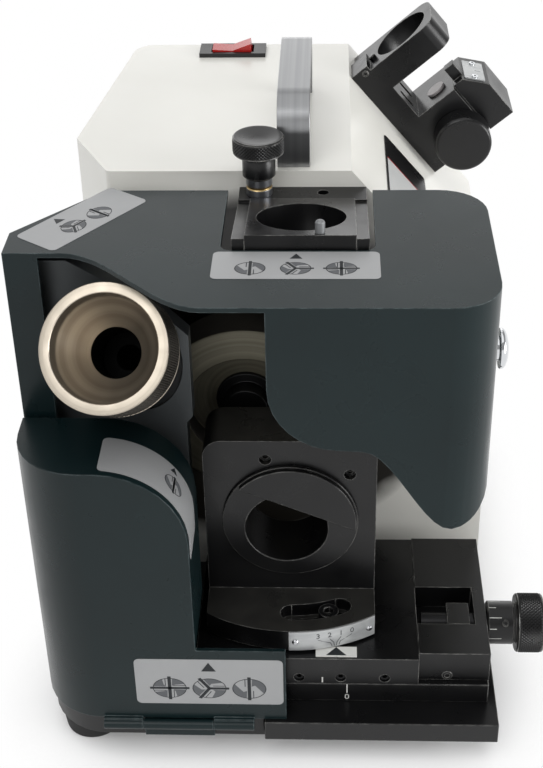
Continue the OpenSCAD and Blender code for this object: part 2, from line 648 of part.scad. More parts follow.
module swivel_lock_screw() placed() color("#1e1f21") rotate_about_pivot(lock_deg) translate([0, -slot_r, slide_top]) difference() {
    union() {
        translate([0, 0, -8]) cylinder(h = 13.5, r = 2.5);
        translate([0, 0, 5.5]) cylinder(h = 5, r = 4.3);
    }
    translate([0, 0, 7.5]) cylinder(h = 4, r = 2.2, $fn = 6);
}

module feed_screw() placed() color("#b9bcc0") union() {
    along_x(feed_y, feed_z, slide_right + 2) cylinder(h = bracket_right - slide_right - 7, r = feed_r);
    along_x(feed_y, feed_z, bracket_right - 5) cylinder(h = 5 + dial_l + 4, r = journal_r);
}

module feed_knob() placed() color("#2e3033") along_x(feed_y, feed_z, bracket_right + 0.5) rotate_extrude() polygon([
    [journal_r + 0.02, 0], [dial_r - 0.5, 0], [dial_r, 0.5], [dial_r, dial_l], [feed_knob_r - 0.8, dial_l],
    [feed_knob_r, dial_l + 0.8], [feed_knob_r, dial_l + feed_knob_l - 0.8], [feed_knob_r - 0.8, dial_l + feed_knob_l],
    [0, dial_l + feed_knob_l], [0, dial_l + 4], [journal_r + 0.02, dial_l + 4]]);

// A band between two radii about the pivot, between two angles to the right of the front
module band(r0, r1, a0, a1, z0, z1) rotate_about_pivot(-90 + a0) rotate_extrude(angle = a1 - a0)
    translate([r0, z0]) square([r1 - r0, z1 - z0]);

module swivel_bracket() placed() color("#2b2c2e") difference() {
    union() {
        intersection() {
            translate([pivot_x, pivot_y, slide_top]) cylinder(h = swivel_t, r = swivel_r);
            translate([upright_x0, 5, slide_top]) cube([upright_x1 - upright_x0, 79, swivel_t]);
        }
        front_shape(upright_front, upright_t) polygon(closed_path([[upright_x0, slide_top + 2, 0], [upright_x1, slide_top + 2, 0],
            [upright_x1, upright_top, 8], [upright_x0, upright_top, 8]]));
    }
    rotate_about_pivot(-89.6) rotate_extrude(angle = 23.2) translate([slot_r, slide_top]) polygon([[-2.75, -1],
        [2.75, -1], [2.75, 5], [4.8, 5], [4.8, swivel_t + 1], [-4.8, swivel_t + 1], [-4.8, 5], [-2.75, 5]]);
    for (a = [0.4, 23.6]) rotate_about_pivot(a) translate([0, -slot_r, slide_top]) rotate_extrude()
        polygon([[0, -1.2], [2.6, -1.2], [2.6, 5.3], [4.6, 5.3], [4.6, 20], [0, 20]]);
    band(swivel_r - 7, swivel_r + 3, -50, 50, slide_top - 1, slide_top + 1.2);
    translate([pivot_x, pivot_y, slide_top - 1]) cylinder(h = 30, r = 4 + run_clear);
    along_y(pivot_x, front_port_z, upright_front - 1) cylinder(h = upright_t + 2, r = sleeve_body_r + run_clear);
    along_y(4.3, 124.8, upright_front - 1) cylinder(h = 9, r = 2.4);
    along_y(38.4, 117.5, upright_front - 1) cylinder(h = 9, r = 2.4);
}

scale_a0 = -0.5;
scale_a1 = 33.5;
module scale_plate() placed() color("#b4b6b8") band(swivel_r, swivel_r + 0.7, scale_a0, scale_a1, slide_top + 1.3, swivel_top - 0.2);

module scale_rivets() placed() color("#c9ccd0") for (a = [scale_a0 + 2.5, scale_a1 - 2.5]) rotate_about_pivot(a)
    translate([0, -swivel_r - 0.7, slide_top + 6]) rotate([90, 0, 0]) cylinder(h = 0.9, r1 = 1.5, r2 = 0.9);

module eccentric_sleeve() placed() color("#2b2c2e") difference() {
    union() {
        along_y(pivot_x, front_port_z, sleeve_y0) cylinder(h = upright_front - sleeve_y0, r = sleeve_flange_r);
        along_y(pivot_x, front_port_z, sleeve_y0 + 0.5) cylinder(h = upright_t + 2, r = sleeve_body_r);
    }
    along_y(bore_x, bore_z, sleeve_y0 - 1) cylinder(h = upright_t + 8, r = port_r);
}

module half_moon_plate() placed() color("#333437") difference() {
    along_y(pivot_x, front_port_z, sleeve_y0 - 1.8) cylinder(h = 1.8, r = sleeve_flange_r - 0.8);
    translate([pivot_x, 0, front_port_z]) rotate([0, moon_dir, 0]) translate([-50, 0, -100 + moon_edge]) cube([100, 60, 100]);
}

module gauge_frame() placed() color("#2b2c2e") in_gauge() difference() {
    union() {
        translate([ring_u, gauge_front, 0]) cube([gauge_l - ring_u, bar_w, bar_t]);
        translate([1.5, gauge_front, 0]) cube([ring_u, 16, 9]);
        translate([ring_u, gauge_front, 0]) cube([ring_t, ring_w, ring_end - ring_corner]);
        translate([ring_u, gauge_front + ring_corner, 0]) cube([ring_t, ring_w - 2 * ring_corner, ring_end]);
        for (y = [ring_corner, ring_w - ring_corner]) translate([ring_u, gauge_front + y, ring_end - ring_corner])
            rotate([0, 90, 0]) cylinder(h = ring_t, r = ring_corner);
        translate([arm_u, gauge_front, 0]) cube([gauge_l - arm_u, 33, arm_v]);
    }
    translate([0, gauge_front + ring_w / 2, ring_v]) rotate([0, 90, 0]) cylinder(h = ring_u + ring_t + 1, r = gauge_bore_r);
    for (y = slot_y) translate([0, gauge_front + y, bar_t - 6]) {
        translate([24.5, -1.6, 0]) cube([6.4, 3.2, 10]);
        for (u = [24.5, 30.9]) translate([u, 0, 0]) cylinder(h = 10, r = 1.6);
    }
    translate([knob_u - 5, gauge_front + 3, knob_v - 6]) cube([10, 60, 60]);
    translate([knob_u, gauge_front - 1, knob_v]) rotate([-90, 0, 0]) cylinder(h = 6, r = 3.05);
}

module gauge_anvil() placed() color("#a7aaad") in_gauge() translate([arm_u - 1.4, gauge_front + 13, 23])
    rotate([0, 90, 0]) cylinder(h = 1.4, r = 4.6);

module gauge_block() placed() color("#2b2c2e") in_gauge() difference() {
    union() {
        translate([0, gauge_front + 32, 0]) rotate([90, 0, 0]) linear_extrude(28) polygon([[arm_u, arm_v], [gauge_l + 1, arm_v],
            [gauge_l + 1, block_v], [arm_u + 10, block_v], [arm_u, block_v - 8]]);
        translate([knob_u - 4.9, gauge_front + 8, knob_v - 5.8]) cube([9.8, 18, arm_v - knob_v + 7]);
        translate([arm_u - 7, gauge_front + 9, arm_v + 0.5]) cube([8, 5, 5]);
    }
    translate([knob_u, gauge_front - 1, knob_v]) rotate([-90, 0, 0]) cylinder(h = 60, r = 3.1);
}

module gauge_knob() placed() color("#232426") in_gauge() translate([knob_u, gauge_front - 11.6, knob_v]) rotate([-90, 0, 0]) union() {
    cylinder(h = 1, r1 = gauge_knob_r - 1, r2 = gauge_knob_r);
    translate([0, 0, 1]) cylinder(h = 10.3, r = gauge_knob_r);
    translate([0, 0, 11]) cylinder(h = 31, r = 3);
}

// Strap loop in Y and Z: outer and inner lines of a bent strip
function strap(i) = open_path([[handle_y0 + i, body_top, 0], [handle_y0 + i, body_top + handle_h - i, handle_bend - i],
    [handle_y0 + handle_l - i, body_top + handle_h - i, handle_bend - i], [handle_y0 + handle_l - i, body_top, 0]]);
module handle() placed() color("#c2c4c6") difference() {
    translate([handle_x - strap_w / 2, 0, 0]) rotate([90, 0, 90]) linear_extrude(strap_w)
        polygon(concat(strap(0), reversed(strap(strap_t))));
    for (y = [handle_y0 + strap_t / 2, handle_y0 + handle_l - strap_t / 2])
        translate([handle_x, y, body_top - 1]) cylinder(h = 9, r = 1.5);
}

module handle_screws() placed() color("#b9bcc0") for (y = [handle_y0 + strap_t / 2, handle_y0 + handle_l - strap_t / 2])
    translate([handle_x, y, 0]) union() {
        translate([0, 0, body_top - body_wall - 3]) cylinder(h = 3, r = 3);
        translate([0, 0, body_top - body_wall - 1]) cylinder(h = body_wall + 8, r = 1.48);
    }

module switch_bezel() placed() color("#17181a") translate([switch_x, switch_y, body_top]) difference() {
    union() {
        translate([-bezel_l / 2, -bezel_w / 2, 0]) cube([bezel_l, bezel_w, 2]);
        translate([-bezel_l / 2 + 1.4, -bezel_w / 2 + 1.4, -20]) cube([bezel_l - 2.8, bezel_w - 2.8, 21]);
    }
    translate([-rocker_half - 0.9, -bezel_w / 2 + 2, -9]) cube([2 * rocker_half + 1.8, bezel_w - 4, 20]);
    along_y(0, rocker_up, -bezel_w / 2 + 1) cylinder(h = bezel_w - 2, r = 1.05);
}

rocker_half = bezel_l / 2 - 6.5;
rocker_up = 0.5;
module switch_rocker() placed() color("#c62a24") translate([switch_x, switch_y - bezel_w / 2, body_top + rocker_up])
    rotate([0, -8, 0]) union() {
        front_shape(2.3, bezel_w - 4.6) polygon([[-rocker_half, -1], [0, -5], [rocker_half, -1],
            [rocker_half, 3.8], [0, 1.9], [-rocker_half, 3.8]]);
        along_y(0, 0, 1.3) cylinder(h = bezel_w - 2.6, r = 1);
    }

module power_inlet() placed() color("#17181a") translate([inlet_pos[0], body_back + cover_t, inlet_pos[1]]) union() {
    difference() {
        union() {
            translate([-25, 0, -11.5]) cube([50, 2, 23]);
            translate([-13.8, -20, -10]) cube([27.6, 21, 20]);
        }
        translate([-12, -16, -8.2]) cube([24, 20, 16.4]);
    }
    for (p = [[-7, -1.5], [7, -1.5], [0, 3]]) translate([p[0] - 1, -17, p[1] - 2]) cube([2, 14, 4]);
}

base_plate();
rubber_feet();
foot_screws();
body_shell();
rear_cover();
rear_cover_screws();
stator_pack();
stator_windings();
motor_end_bells();
spindle_bearings();
run_capacitor();
spindle();
rotor_core();
cooling_fan();
wheel_hub();
grinding_wheel();
wheel_nut();
upper_guard();
guard_post();
guard_screw();
hinged_door();
door_catch();
hinge_leaf();
hinge_pin();
top_port_frame();
top_port_block();
top_index_pin();
plunger_collar();
plunger_knob();
left_port_bracket();
left_port_sleeve();
chuck_knob();
chuck_body();
collet();
slide_base();
slide_rail();
feed_nut();
table_slide();
gib_screws();
screw_bracket();
pointer_plate();
swivel_pivot_pin();
swivel_lock_screw();
feed_screw();
feed_knob();
swivel_bracket();
scale_plate();
scale_rivets();
eccentric_sleeve();
half_moon_plate();
gauge_frame();
gauge_anvil();
gauge_block();
gauge_knob();
handle();
handle_screws();
switch_bezel();
switch_rocker();
power_inlet();
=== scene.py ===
"""Looks of a compact tool and cutter grinder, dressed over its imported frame.

Lengths that describe a piece are millimetres in the machine's own frame: x = 0 in the
middle of the guard, y = 0 at the guard's front face, z = 0 on the floor. ``at`` turns
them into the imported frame's metres.
"""

import json
import logging
import math
from dataclasses import dataclass, replace
from enum import Enum
from typing import Callable, Optional, Sequence

import bmesh
import bpy
from mathutils import Matrix, Vector

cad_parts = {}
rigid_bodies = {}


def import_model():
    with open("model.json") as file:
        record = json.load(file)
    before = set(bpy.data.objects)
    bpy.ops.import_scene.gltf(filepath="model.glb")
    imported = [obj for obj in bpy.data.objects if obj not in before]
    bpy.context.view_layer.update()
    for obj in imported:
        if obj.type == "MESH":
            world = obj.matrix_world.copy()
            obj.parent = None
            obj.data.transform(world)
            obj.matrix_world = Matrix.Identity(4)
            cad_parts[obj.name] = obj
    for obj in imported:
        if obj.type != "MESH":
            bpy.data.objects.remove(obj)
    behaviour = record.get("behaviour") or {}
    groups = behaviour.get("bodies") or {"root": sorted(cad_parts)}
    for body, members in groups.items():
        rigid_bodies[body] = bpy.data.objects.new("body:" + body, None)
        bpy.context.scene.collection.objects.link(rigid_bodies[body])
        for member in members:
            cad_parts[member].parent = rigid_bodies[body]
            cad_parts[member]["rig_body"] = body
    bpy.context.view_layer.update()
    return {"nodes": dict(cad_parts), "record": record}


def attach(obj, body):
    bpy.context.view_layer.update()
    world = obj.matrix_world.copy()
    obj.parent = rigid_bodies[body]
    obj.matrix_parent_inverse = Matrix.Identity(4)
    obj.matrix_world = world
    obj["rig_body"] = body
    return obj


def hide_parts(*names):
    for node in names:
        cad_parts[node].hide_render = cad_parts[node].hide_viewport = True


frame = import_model()
LOG = logging.getLogger("grinder")
MM = 0.001
MACHINE_CENTRE = Vector((15.6, 120.9, 0.0))
TWO_PI = 2.0 * math.pi
SLOT_OF_NODE = {row["node"]: row["material_slot"] for row in frame["record"]["subparts"]}

Point2 = tuple[float, float]
Point3 = tuple[float, float, float]
Colour = tuple[float, float, float]
Screen = tuple[int, int, int]
Socket = bpy.types.NodeSocket
Surface = Callable[[float, float, float], Vector]


def at(x: float, y: float, z: float) -> Vector:
    """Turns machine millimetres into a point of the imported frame, in metres."""
    return (Vector((x, y, z)) - MACHINE_CENTRE) * MM


def paint(red: int, green: int, blue: int) -> Colour:
    """Turns a colour as seen on a screen, 0 to 255, into linear light."""
    def one(value: float) -> float:
        """Turns one channel into linear light."""
        share = value / 255.0
        return share / 12.92 if share <= 0.04045 else ((share + 0.055) / 1.055) ** 2.4
    return one(red), one(green), one(blue)


def axis_frame(origin: Vector, axis: Sequence[float], up: Sequence[float] = (0, 0, 1)) -> Matrix:
    """Makes a placement whose local z runs along an axis.

    Args:
        origin: Place of the local origin, in metres.
        axis: Direction of the local z.
        up: Direction that the local y leans towards.

    Returns:
        A 4 by 4 matrix without scale.
    """
    z_dir = Vector(axis).normalized()
    lean = Vector(up)
    if abs(z_dir.dot(lean.normalized())) > 0.98:
        lean = Vector((0, 1, 0))
    x_dir = lean.cross(z_dir).normalized()
    y_dir = z_dir.cross(x_dir)
    turn = Matrix((x_dir, y_dir, z_dir)).transposed().to_4x4()
    turn.translation = origin
    return turn


def plane_frame(origin: Vector, x_axis: Sequence[float], y_axis: Sequence[float]) -> Matrix:
    """Makes a placement from its local x and y directions, with z out of that plane."""
    x_dir = Vector(x_axis).normalized()
    z_dir = x_dir.cross(Vector(y_axis)).normalized()
    turn = Matrix((x_dir, z_dir.cross(x_dir), z_dir)).transposed().to_4x4()
    turn.translation = origin
    return turn


class Grain(Enum):
    """How a finish's surface is worked."""

    PEEL = "peel"
    TURNED = "turned"
    BRUSHED = "brushed"


class Body(Enum):
    """The moving bodies that pieces ride on."""

    MACHINE = "machine"
    ROTOR = "rotor"
    DOOR = "door"
    PLUNGER = "plunger"
    CHUCK = "chuck"
    CHUCK_KNOB = "chuck_knob"
    CARRIAGE = "carriage"
    FEED = "feed"
    SWIVEL = "swivel"
    SLEEVE = "sleeve"
    GAUGE_SLIDER = "gauge_slider"
    GAUGE_KNOB = "gauge_knob"
    ROCKER = "rocker"


class Graph:
    """A node tree with short calls that add and join nodes."""

    def __init__(self, tree: bpy.types.NodeTree) -> None:
        """Keeps the tree that nodes are added to."""
        self.tree = tree
        self.column = 0

    def add(self, kind: str, values: Optional[dict] = None, **settings: object) -> bpy.types.Node:
        """Adds a node.

        Args:
            kind: Blender's name for the node type.
            values: Input name or number to a value, or to a socket that feeds it.
            settings: Properties of the node.

        Returns:
            The new node.
        """
        node = self.tree.nodes.new(kind)
        node.location = (self.column, 0)
        self.column += 180
        for name, value in settings.items():
            setattr(node, name, value)
        for name, value in (values or {}).items():
            socket = node.inputs[name]
            if isinstance(value, Socket):
                self.tree.links.new(value, socket)
            else:
                socket.default_value = value
        return node

    def math(self, operation: str, first: object, second: object = 0.0,
             third: object = 0.0) -> Socket:
        """Adds a Math node and gives its value."""
        return self.add("ShaderNodeMath", {0: first, 1: second, 2: third},
                        operation=operation).outputs[0]

    def product(self, first: object, *others: object) -> Socket:
        """Multiplies values in turn and gives the result."""
        for other in others:
            first = self.math("MULTIPLY", first, other)
        return first

    def length(self, first: Socket, second: Socket) -> Socket:
        """Gives the length of two sides at right angles."""
        return self.math("SQRT", self.math("MULTIPLY_ADD", first, first,
                                           self.math("MULTIPLY", second, second)))

    def noise(self, vector: Socket, scale: object, detail: float, **more: float) -> Socket:
        """Adds a Noise node in space and gives its value; more inputs go by their names."""
        return self.add("ShaderNodeTexNoise", {
            "Vector": vector, "Scale": scale, "Detail": detail, **more}).outputs[0]

    def line_noise(self, place: Socket, scale: object, detail: float) -> Socket:
        """Adds a Noise node along one line and gives its value."""
        return self.add("ShaderNodeTexNoise", {
            "W": self.math("MULTIPLY", place, scale), "Scale": 1.0, "Detail": detail},
            noise_dimensions="1D").outputs[0]

    def ramp(self, value: Socket, low: float, high: float, first: float = 0.0,
             last: float = 1.0) -> Socket:
        """Adds a Map Range node that turns low to high into first to last."""
        return self.add("ShaderNodeMapRange", {
            0: value, 1: low, 2: high, 3: first, 4: last}).outputs[0]

    def split(self, vector: Socket) -> Sequence[Socket]:
        """Gives a vector's x, y and z."""
        return self.add("ShaderNodeSeparateXYZ", {0: vector}).outputs

    def vector(self, x: object = 0.0, y: object = 0.0, z: object = 0.0) -> Socket:
        """Joins x, y and z into a vector."""
        return self.add("ShaderNodeCombineXYZ", {0: x, 1: y, 2: z}).outputs[0]

    def polar(self, angle: Socket, radius: Socket, height: object = 0.0) -> Socket:
        """Gives the point at an angle and a radius about the z axis."""
        return self.vector(self.product(self.math("COSINE", angle), radius),
                           self.product(self.math("SINE", angle), radius), height)

    def mix(self, share: Socket, first: object, second: Colour) -> Socket:
        """Mixes a colour, or a socket that gives one, with a second colour."""
        under = first if isinstance(first, Socket) else (*first, 1.0)
        return self.add("ShaderNodeMix", {0: share, 6: under, 7: (*second, 1.0)},
                        data_type="RGBA").outputs[2]


class Group(Graph):
    """A node group under construction, with what it takes and what it gives."""

    def __init__(self, name: str, kind: str, inputs: dict[str, Sequence[str]]) -> None:
        """Starts the group.

        Args:
            name: The group's name.
            kind: Kind of tree, Shader or Geometry.
            inputs: Kind of socket to the names of the inputs of that kind.
        """
        super().__init__(bpy.data.node_groups.new(name, kind + "NodeTree"))
        for socket, labels in inputs.items():
            for label in labels:
                self._socket(label, "INPUT", socket)
        self.given = self.add("NodeGroupInput").outputs

    def _socket(self, label: str, way: str, kind: str) -> None:
        """Adds a socket to the group's outside."""
        self.tree.interface.new_socket(label, in_out=way, socket_type="NodeSocket" + kind)

    def close(self, kind: str, outputs: dict[str, Socket]) -> bpy.types.NodeTree:
        """Ends the group with outputs of one kind of socket, and gives its tree."""
        for label in outputs:
            self._socket(label, "OUTPUT", kind)
        self.add("NodeGroupOutput", outputs)
        return self.tree


class SurfaceGroups:
    """The shader node groups that several finishes share."""

    LATHE_LEAN = 1.7

    def __init__(self) -> None:
        """Builds each group once."""
        self.peel = self._peel()
        self.turned = self._turned()
        self.brushed = self._brushed()
        self.wear = self._wear()
        self.chamber_shade = self._chamber_shade()
        self.top_light = self._top_light()

    @staticmethod
    def _start(name: str, *numbers: str) -> tuple[Group, Sequence[Socket]]:
        """Starts a group that takes a vector and some numbers."""
        group = Group(name, "Shader", {"Vector": ("Vector",), "Float": numbers})
        return group, group.given

    def _peel(self) -> bpy.types.NodeTree:
        """Makes the fine dimples and slow tint of sprayed paint, castings and mouldings."""
        graph, pick = self._start("paint_dimples", "Scale")
        return graph.close("Float", {
            "Height": graph.noise(pick["Vector"], pick["Scale"], 2.0, Roughness=0.55),
            "Tint": graph.noise(pick["Vector"], 16.0, 3.0),
            "Smudge": graph.noise(pick["Vector"], 55.0, 5.0, Distortion=0.6)})

    def _turned(self) -> bpy.types.NodeTree:
        """Makes the fine rings that a lathe leaves round a local z axis."""
        graph, pick = self._start("lathe_rings", "Scale")
        x, y, z = graph.split(pick["Vector"])
        along = graph.math("MULTIPLY_ADD", z, self.LATHE_LEAN, graph.length(y, x))
        turn = graph.math("ARCTAN2", y, x)
        return graph.close("Float", {
            "Height": graph.line_noise(along, pick["Scale"], 2.0),
            "Tint": graph.line_noise(along, 420.0, 2.0),
            "Smudge": graph.line_noise(turn, 2.4, 1.0)})

    def _brushed(self) -> bpy.types.NodeTree:
        """Makes the long streaks of metal brushed along a local x axis."""
        graph, pick = self._start("brush_streaks", "Scale", "Rise")
        x, y, z = graph.split(pick["Vector"])
        drawn = graph.vector(graph.product(x, 26.0), graph.product(y, pick["Scale"]),
                             graph.product(z, pick["Rise"]))
        return graph.close("Float", {
            "Height": graph.noise(drawn, 1.0, 3.0), "Tint": graph.noise(drawn, 0.16, 2.0),
            "Smudge": graph.noise(pick["Vector"], 45.0, 4.0)})

    def _wear(self) -> bpy.types.NodeTree:
        """Makes a broken mask along convex edges, partly edge wear where a finish rubs thin and
        partly a painted highlight where rounded edges catch the light.
        """
        graph, pick = self._start("edge_rub_and_highlight", "Amount")
        face = graph.add("ShaderNodeNewGeometry").outputs["Normal"]
        eased = graph.add("ShaderNodeBevel", {"Radius": 0.5 * MM}, samples=4).outputs[0]
        near = graph.add("ShaderNodeVectorMath", {0: face, 1: eased}, operation="DOT_PRODUCT")
        lift = graph.ramp(near.outputs["Value"], 0.995, 0.93)
        broken = graph.ramp(graph.noise(pick["Vector"], 240.0, 4.0), 0.38, 0.66, 0.15)
        return graph.close("Float", {"Mask": graph.product(lift, broken, pick["Amount"])})

    def _chamber_shade(self) -> bpy.types.NodeTree:
        """Makes the mask of painted shade round the wheel's axis, on faces in front of it, where the
        wheel chamber lies in shadow.
        """
        graph, pick = self._start("painted_chamber_shade", "Middle X", "Middle Z", "Reach", "Behind Y")
        x, y, z = graph.split(pick["Vector"])
        far = graph.length(graph.math("SUBTRACT", x, pick["Middle X"]),
                           graph.math("SUBTRACT", z, pick["Middle Z"]))
        edge = graph.math("MULTIPLY_ADD", graph.noise(pick["Vector"], 60.0, 4.0), 8.0 * MM, far)
        near = graph.ramp(graph.math("SUBTRACT", edge, pick["Reach"]), 4.0 * MM, 14.0 * MM,
                          1.0, 0.0)
        front = graph.math("LESS_THAN", y, pick["Behind Y"])
        return graph.close("Float", {"Mask": graph.product(near, front)})

    def _top_light(self) -> bpy.types.NodeTree:
        """Makes the mask of painted light that lightens faces that look up, in broken patches."""
        graph, pick = self._start("painted_top_light", "Amount")
        face = graph.add("ShaderNodeNewGeometry").outputs["Normal"]
        up = graph.ramp(graph.split(face)[2], 0.8, 0.98)
        cover = graph.ramp(graph.noise(pick["Vector"], 90.0, 5.0), 0.3, 0.7, 0.45)
        return graph.close("Float", {"Mask": graph.product(up, cover, pick["Amount"])})


GROUPS = SurfaceGroups()


def blank_material(name: str) -> tuple[bpy.types.Material, Graph]:
    """Makes a material without nodes, and gives it with its graph."""
    made = bpy.data.materials.new(name)
    made.use_nodes = True
    made.node_tree.nodes.clear()
    return made, Graph(made.node_tree)


@dataclass(frozen=True)
class Finish:
    """A surface finish that makes its own material.

    The grain is centred on ``centre`` and turned so that its working direction, the lathe's
    axis or the brush's path, lies along ``axis``.
    """

    name: str
    colour: Colour
    shade: Colour
    roughness: float
    grain: Grain = Grain.PEEL
    metallic: float = 0.0
    grain_scale: float = 900.0
    grain_depth: float = 0.05
    grain_rise: float = 0.0
    rough_swing: float = 0.12
    coat: float = 0.0
    # Edge wear with a painted highlight along convex edges, in a lighter colour.
    wear: float = 0.0
    wear_colour: Colour = (0.3, 0.3, 0.3)
    specular: float = 0.5
    # Painted shade in the wheel chamber: faces within this reach of the wheel's axis, in front of
    # it, turn dark.
    chamber_shade_reach: float = 0.0
    chamber_shade_colour: Colour = (0.02, 0.018, 0.015)
    # Painted light: faces that look up turn lighter.
    top_light: float = 0.0
    top_light_colour: Colour = (0.032, 0.031, 0.028)
    centre: Point3 = (0.0, 0.0, 0.0)
    axis: Point3 = (0.0, 0.0, 1.0)

    def material(self) -> bpy.types.Material:
        """Gives the finish's material, building it the first time.

        Returns:
            The material, shared by every piece with this finish.
        """
        known = bpy.data.materials.get(self.name)
        if known is not None:
            return known
        made, graph = blank_material(self.name)
        place = self._placed_vector(graph)
        group = {Grain.TURNED: GROUPS.turned, Grain.BRUSHED: GROUPS.brushed}.get(
            self.grain, GROUPS.peel)
        values = {"Vector": place, "Scale": self.grain_scale}
        if self.grain is Grain.BRUSHED:
            values["Rise"] = self.grain_rise or self.grain_scale
        grain = graph.add("ShaderNodeGroup", values, node_tree=group).outputs
        colour = graph.mix(graph.ramp(grain["Tint"], 0.3, 0.7), self.colour, self.shade)
        axle = at(*WHEEL_AXLE)
        for used, tree, values, over in (
                # Edge wear with a painted highlight along the edges.
                (self.wear, GROUPS.wear, {"Amount": self.wear}, self.wear_colour),
                # Painted shade in the wheel chamber.
                (self.chamber_shade_reach, GROUPS.chamber_shade, {
                    "Middle X": axle.x, "Middle Z": axle.z, "Reach": self.chamber_shade_reach * MM,
                    "Behind Y": axle.y}, self.chamber_shade_colour),
                # Painted light on faces that look up.
                (self.top_light, GROUPS.top_light, {"Amount": self.top_light}, self.top_light_colour)):
            if used > 0.0:
                cover = graph.add("ShaderNodeGroup", {"Vector": place, **values}, node_tree=tree)
                colour = graph.mix(cover.outputs["Mask"], colour, over)
        bump = graph.add("ShaderNodeBump", {
            "Height": grain["Height"], "Strength": 0.35, "Distance": self.grain_depth * MM})
        shader = graph.add("ShaderNodeBsdfPrincipled", {
            "Base Color": colour, "Normal": bump.outputs[0], "Metallic": self.metallic,
            "Roughness": graph.ramp(grain["Smudge"], 0.25, 0.75,
                                    max(0.03, self.roughness - self.rough_swing / 2),
                                    min(1.0, self.roughness + self.rough_swing / 2)),
            "Coat Weight": self.coat, "Coat Roughness": 0.12,
            "Specular IOR Level": self.specular})
        graph.add("ShaderNodeOutputMaterial", {"Surface": shader.outputs[0]})
        return made

    def _placed_vector(self, graph: Graph) -> Socket:
        """Gives object coordinates centred and turned to the grain's working direction."""
        source = graph.add("ShaderNodeTexCoord").outputs["Object"]
        if self.grain is Grain.TURNED:
            turn = axis_frame(at(*self.centre), self.axis)
        elif self.grain is Grain.BRUSHED:
            along = Vector(self.axis).normalized()
            turn = plane_frame(at(*self.centre), along, Vector((0, 0, 1)).cross(along))
        else:
            return source
        back = turn.inverted()
        return graph.add("ShaderNodeMapping", {
            "Vector": source, "Location": back.translation,
            "Rotation": back.to_euler("XYZ")}, vector_type="POINT").outputs[0]


CHUCK_FACE = (-52.0, 18.0, 192.4)
CHUCK_AXIS = (0.1148, 0.7871, -0.6060)
SLOPE_START = (38.5, 0.0, 224.0)
GAUGE_SLOPE = math.radians(49.6)
GAUGE_U = Vector((math.cos(GAUGE_SLOPE), 0.0, -math.sin(GAUGE_SLOPE)))
GAUGE_V = Vector((math.sin(GAUGE_SLOPE), 0.0, math.cos(GAUGE_SLOPE)))
PIVOT = (14.1, 78.0)
WHEEL_AXLE = (-5.0, 100.6, 126.0)
ON_CHUCK = {"grain": Grain.TURNED, "centre": CHUCK_FACE, "axis": CHUCK_AXIS}


def finish_of(name: str, colour: Screen, shade: Screen, roughness: float, scale: float,
              depth: float, grain: Grain = Grain.PEEL, **more: object) -> Finish:
    """Makes a finish from colours as seen on a screen.

    Args:
        name: The material's name.
        colour: Its colour, 0 to 255.
        shade: The colour that it drifts to.
        roughness: How dull it is, 0 to 1.
        scale: How fine its grain is, in waves per metre.
        depth: Depth of the grain, in millimetres.
        grain: How the surface is worked.
        more: Other fields of the finish.

    Returns:
        The finish.
    """
    return Finish(name, paint(*colour), paint(*shade), roughness, grain, grain_scale=scale,
                  grain_depth=depth, **more)


# The light wear colours below are partly edge wear and partly painted highlights along the edges.
TEAL = finish_of("teal_enamel", (17, 33, 35), (13, 27, 29), 0.3, 1100, 0.05, coat=0.05,
                 specular=0.24, wear=0.7, wear_colour=paint(120, 132, 134))
CREAM = finish_of("cream_enamel", (233, 232, 226), (229, 228, 221), 0.34, 800, 0.04, coat=0.2)
# The housing turns dark round the wheel as painted shade in the wheel chamber.
HOUSING = replace(CREAM, name="housing_enamel", chamber_shade_reach=81.0)
BLACK_PAINT = finish_of("black_enamel", (30, 30, 31), (24, 24, 25), 0.42, 1300, 0.05, specular=0.4,
                        wear=0.3, wear_colour=paint(90, 91, 93))
BLACKENED = finish_of("blackened_steel", (16, 16, 17), (11, 11, 12), 0.3, 2600, 0.03,
                      rough_swing=0.14, specular=0.4, wear=0.95, wear_colour=paint(158, 157, 153))
# Blackened steel with painted light on its faces that look up, for the swivel bracket.
TOP_LIT_BLACK = replace(BLACKENED, name="top_lit_black_steel", top_light=0.9)
KNURLED_BLACK = replace(BLACKENED, name="knurled_black_steel", wear=0.0)
RUBBER = finish_of("foot_rubber", (26, 26, 27), (20, 20, 21), 0.75, 2200, 0.08)
CHAMPAGNE = finish_of("turned_knob_silver", (192, 183, 169), (174, 165, 151), 0.36, 5200, 0.02,
                      metallic=1.0, **ON_CHUCK)
KNURL = finish_of("knurl_silver", (92, 88, 82), (72, 68, 63), 0.4, 4200, 0.02, metallic=0.9,
                  **ON_CHUCK)
CONE = finish_of("turned_cone_brown", (180, 169, 153), (158, 147, 132), 0.34, 4200, 0.02,
                 metallic=0.85, rough_swing=0.06, **ON_CHUCK)
CHUCK_DARK = finish_of("chuck_dark_steel", (44, 44, 45), (32, 32, 33), 0.4, 4200, 0.03, metallic=0.7,
                       **ON_CHUCK)
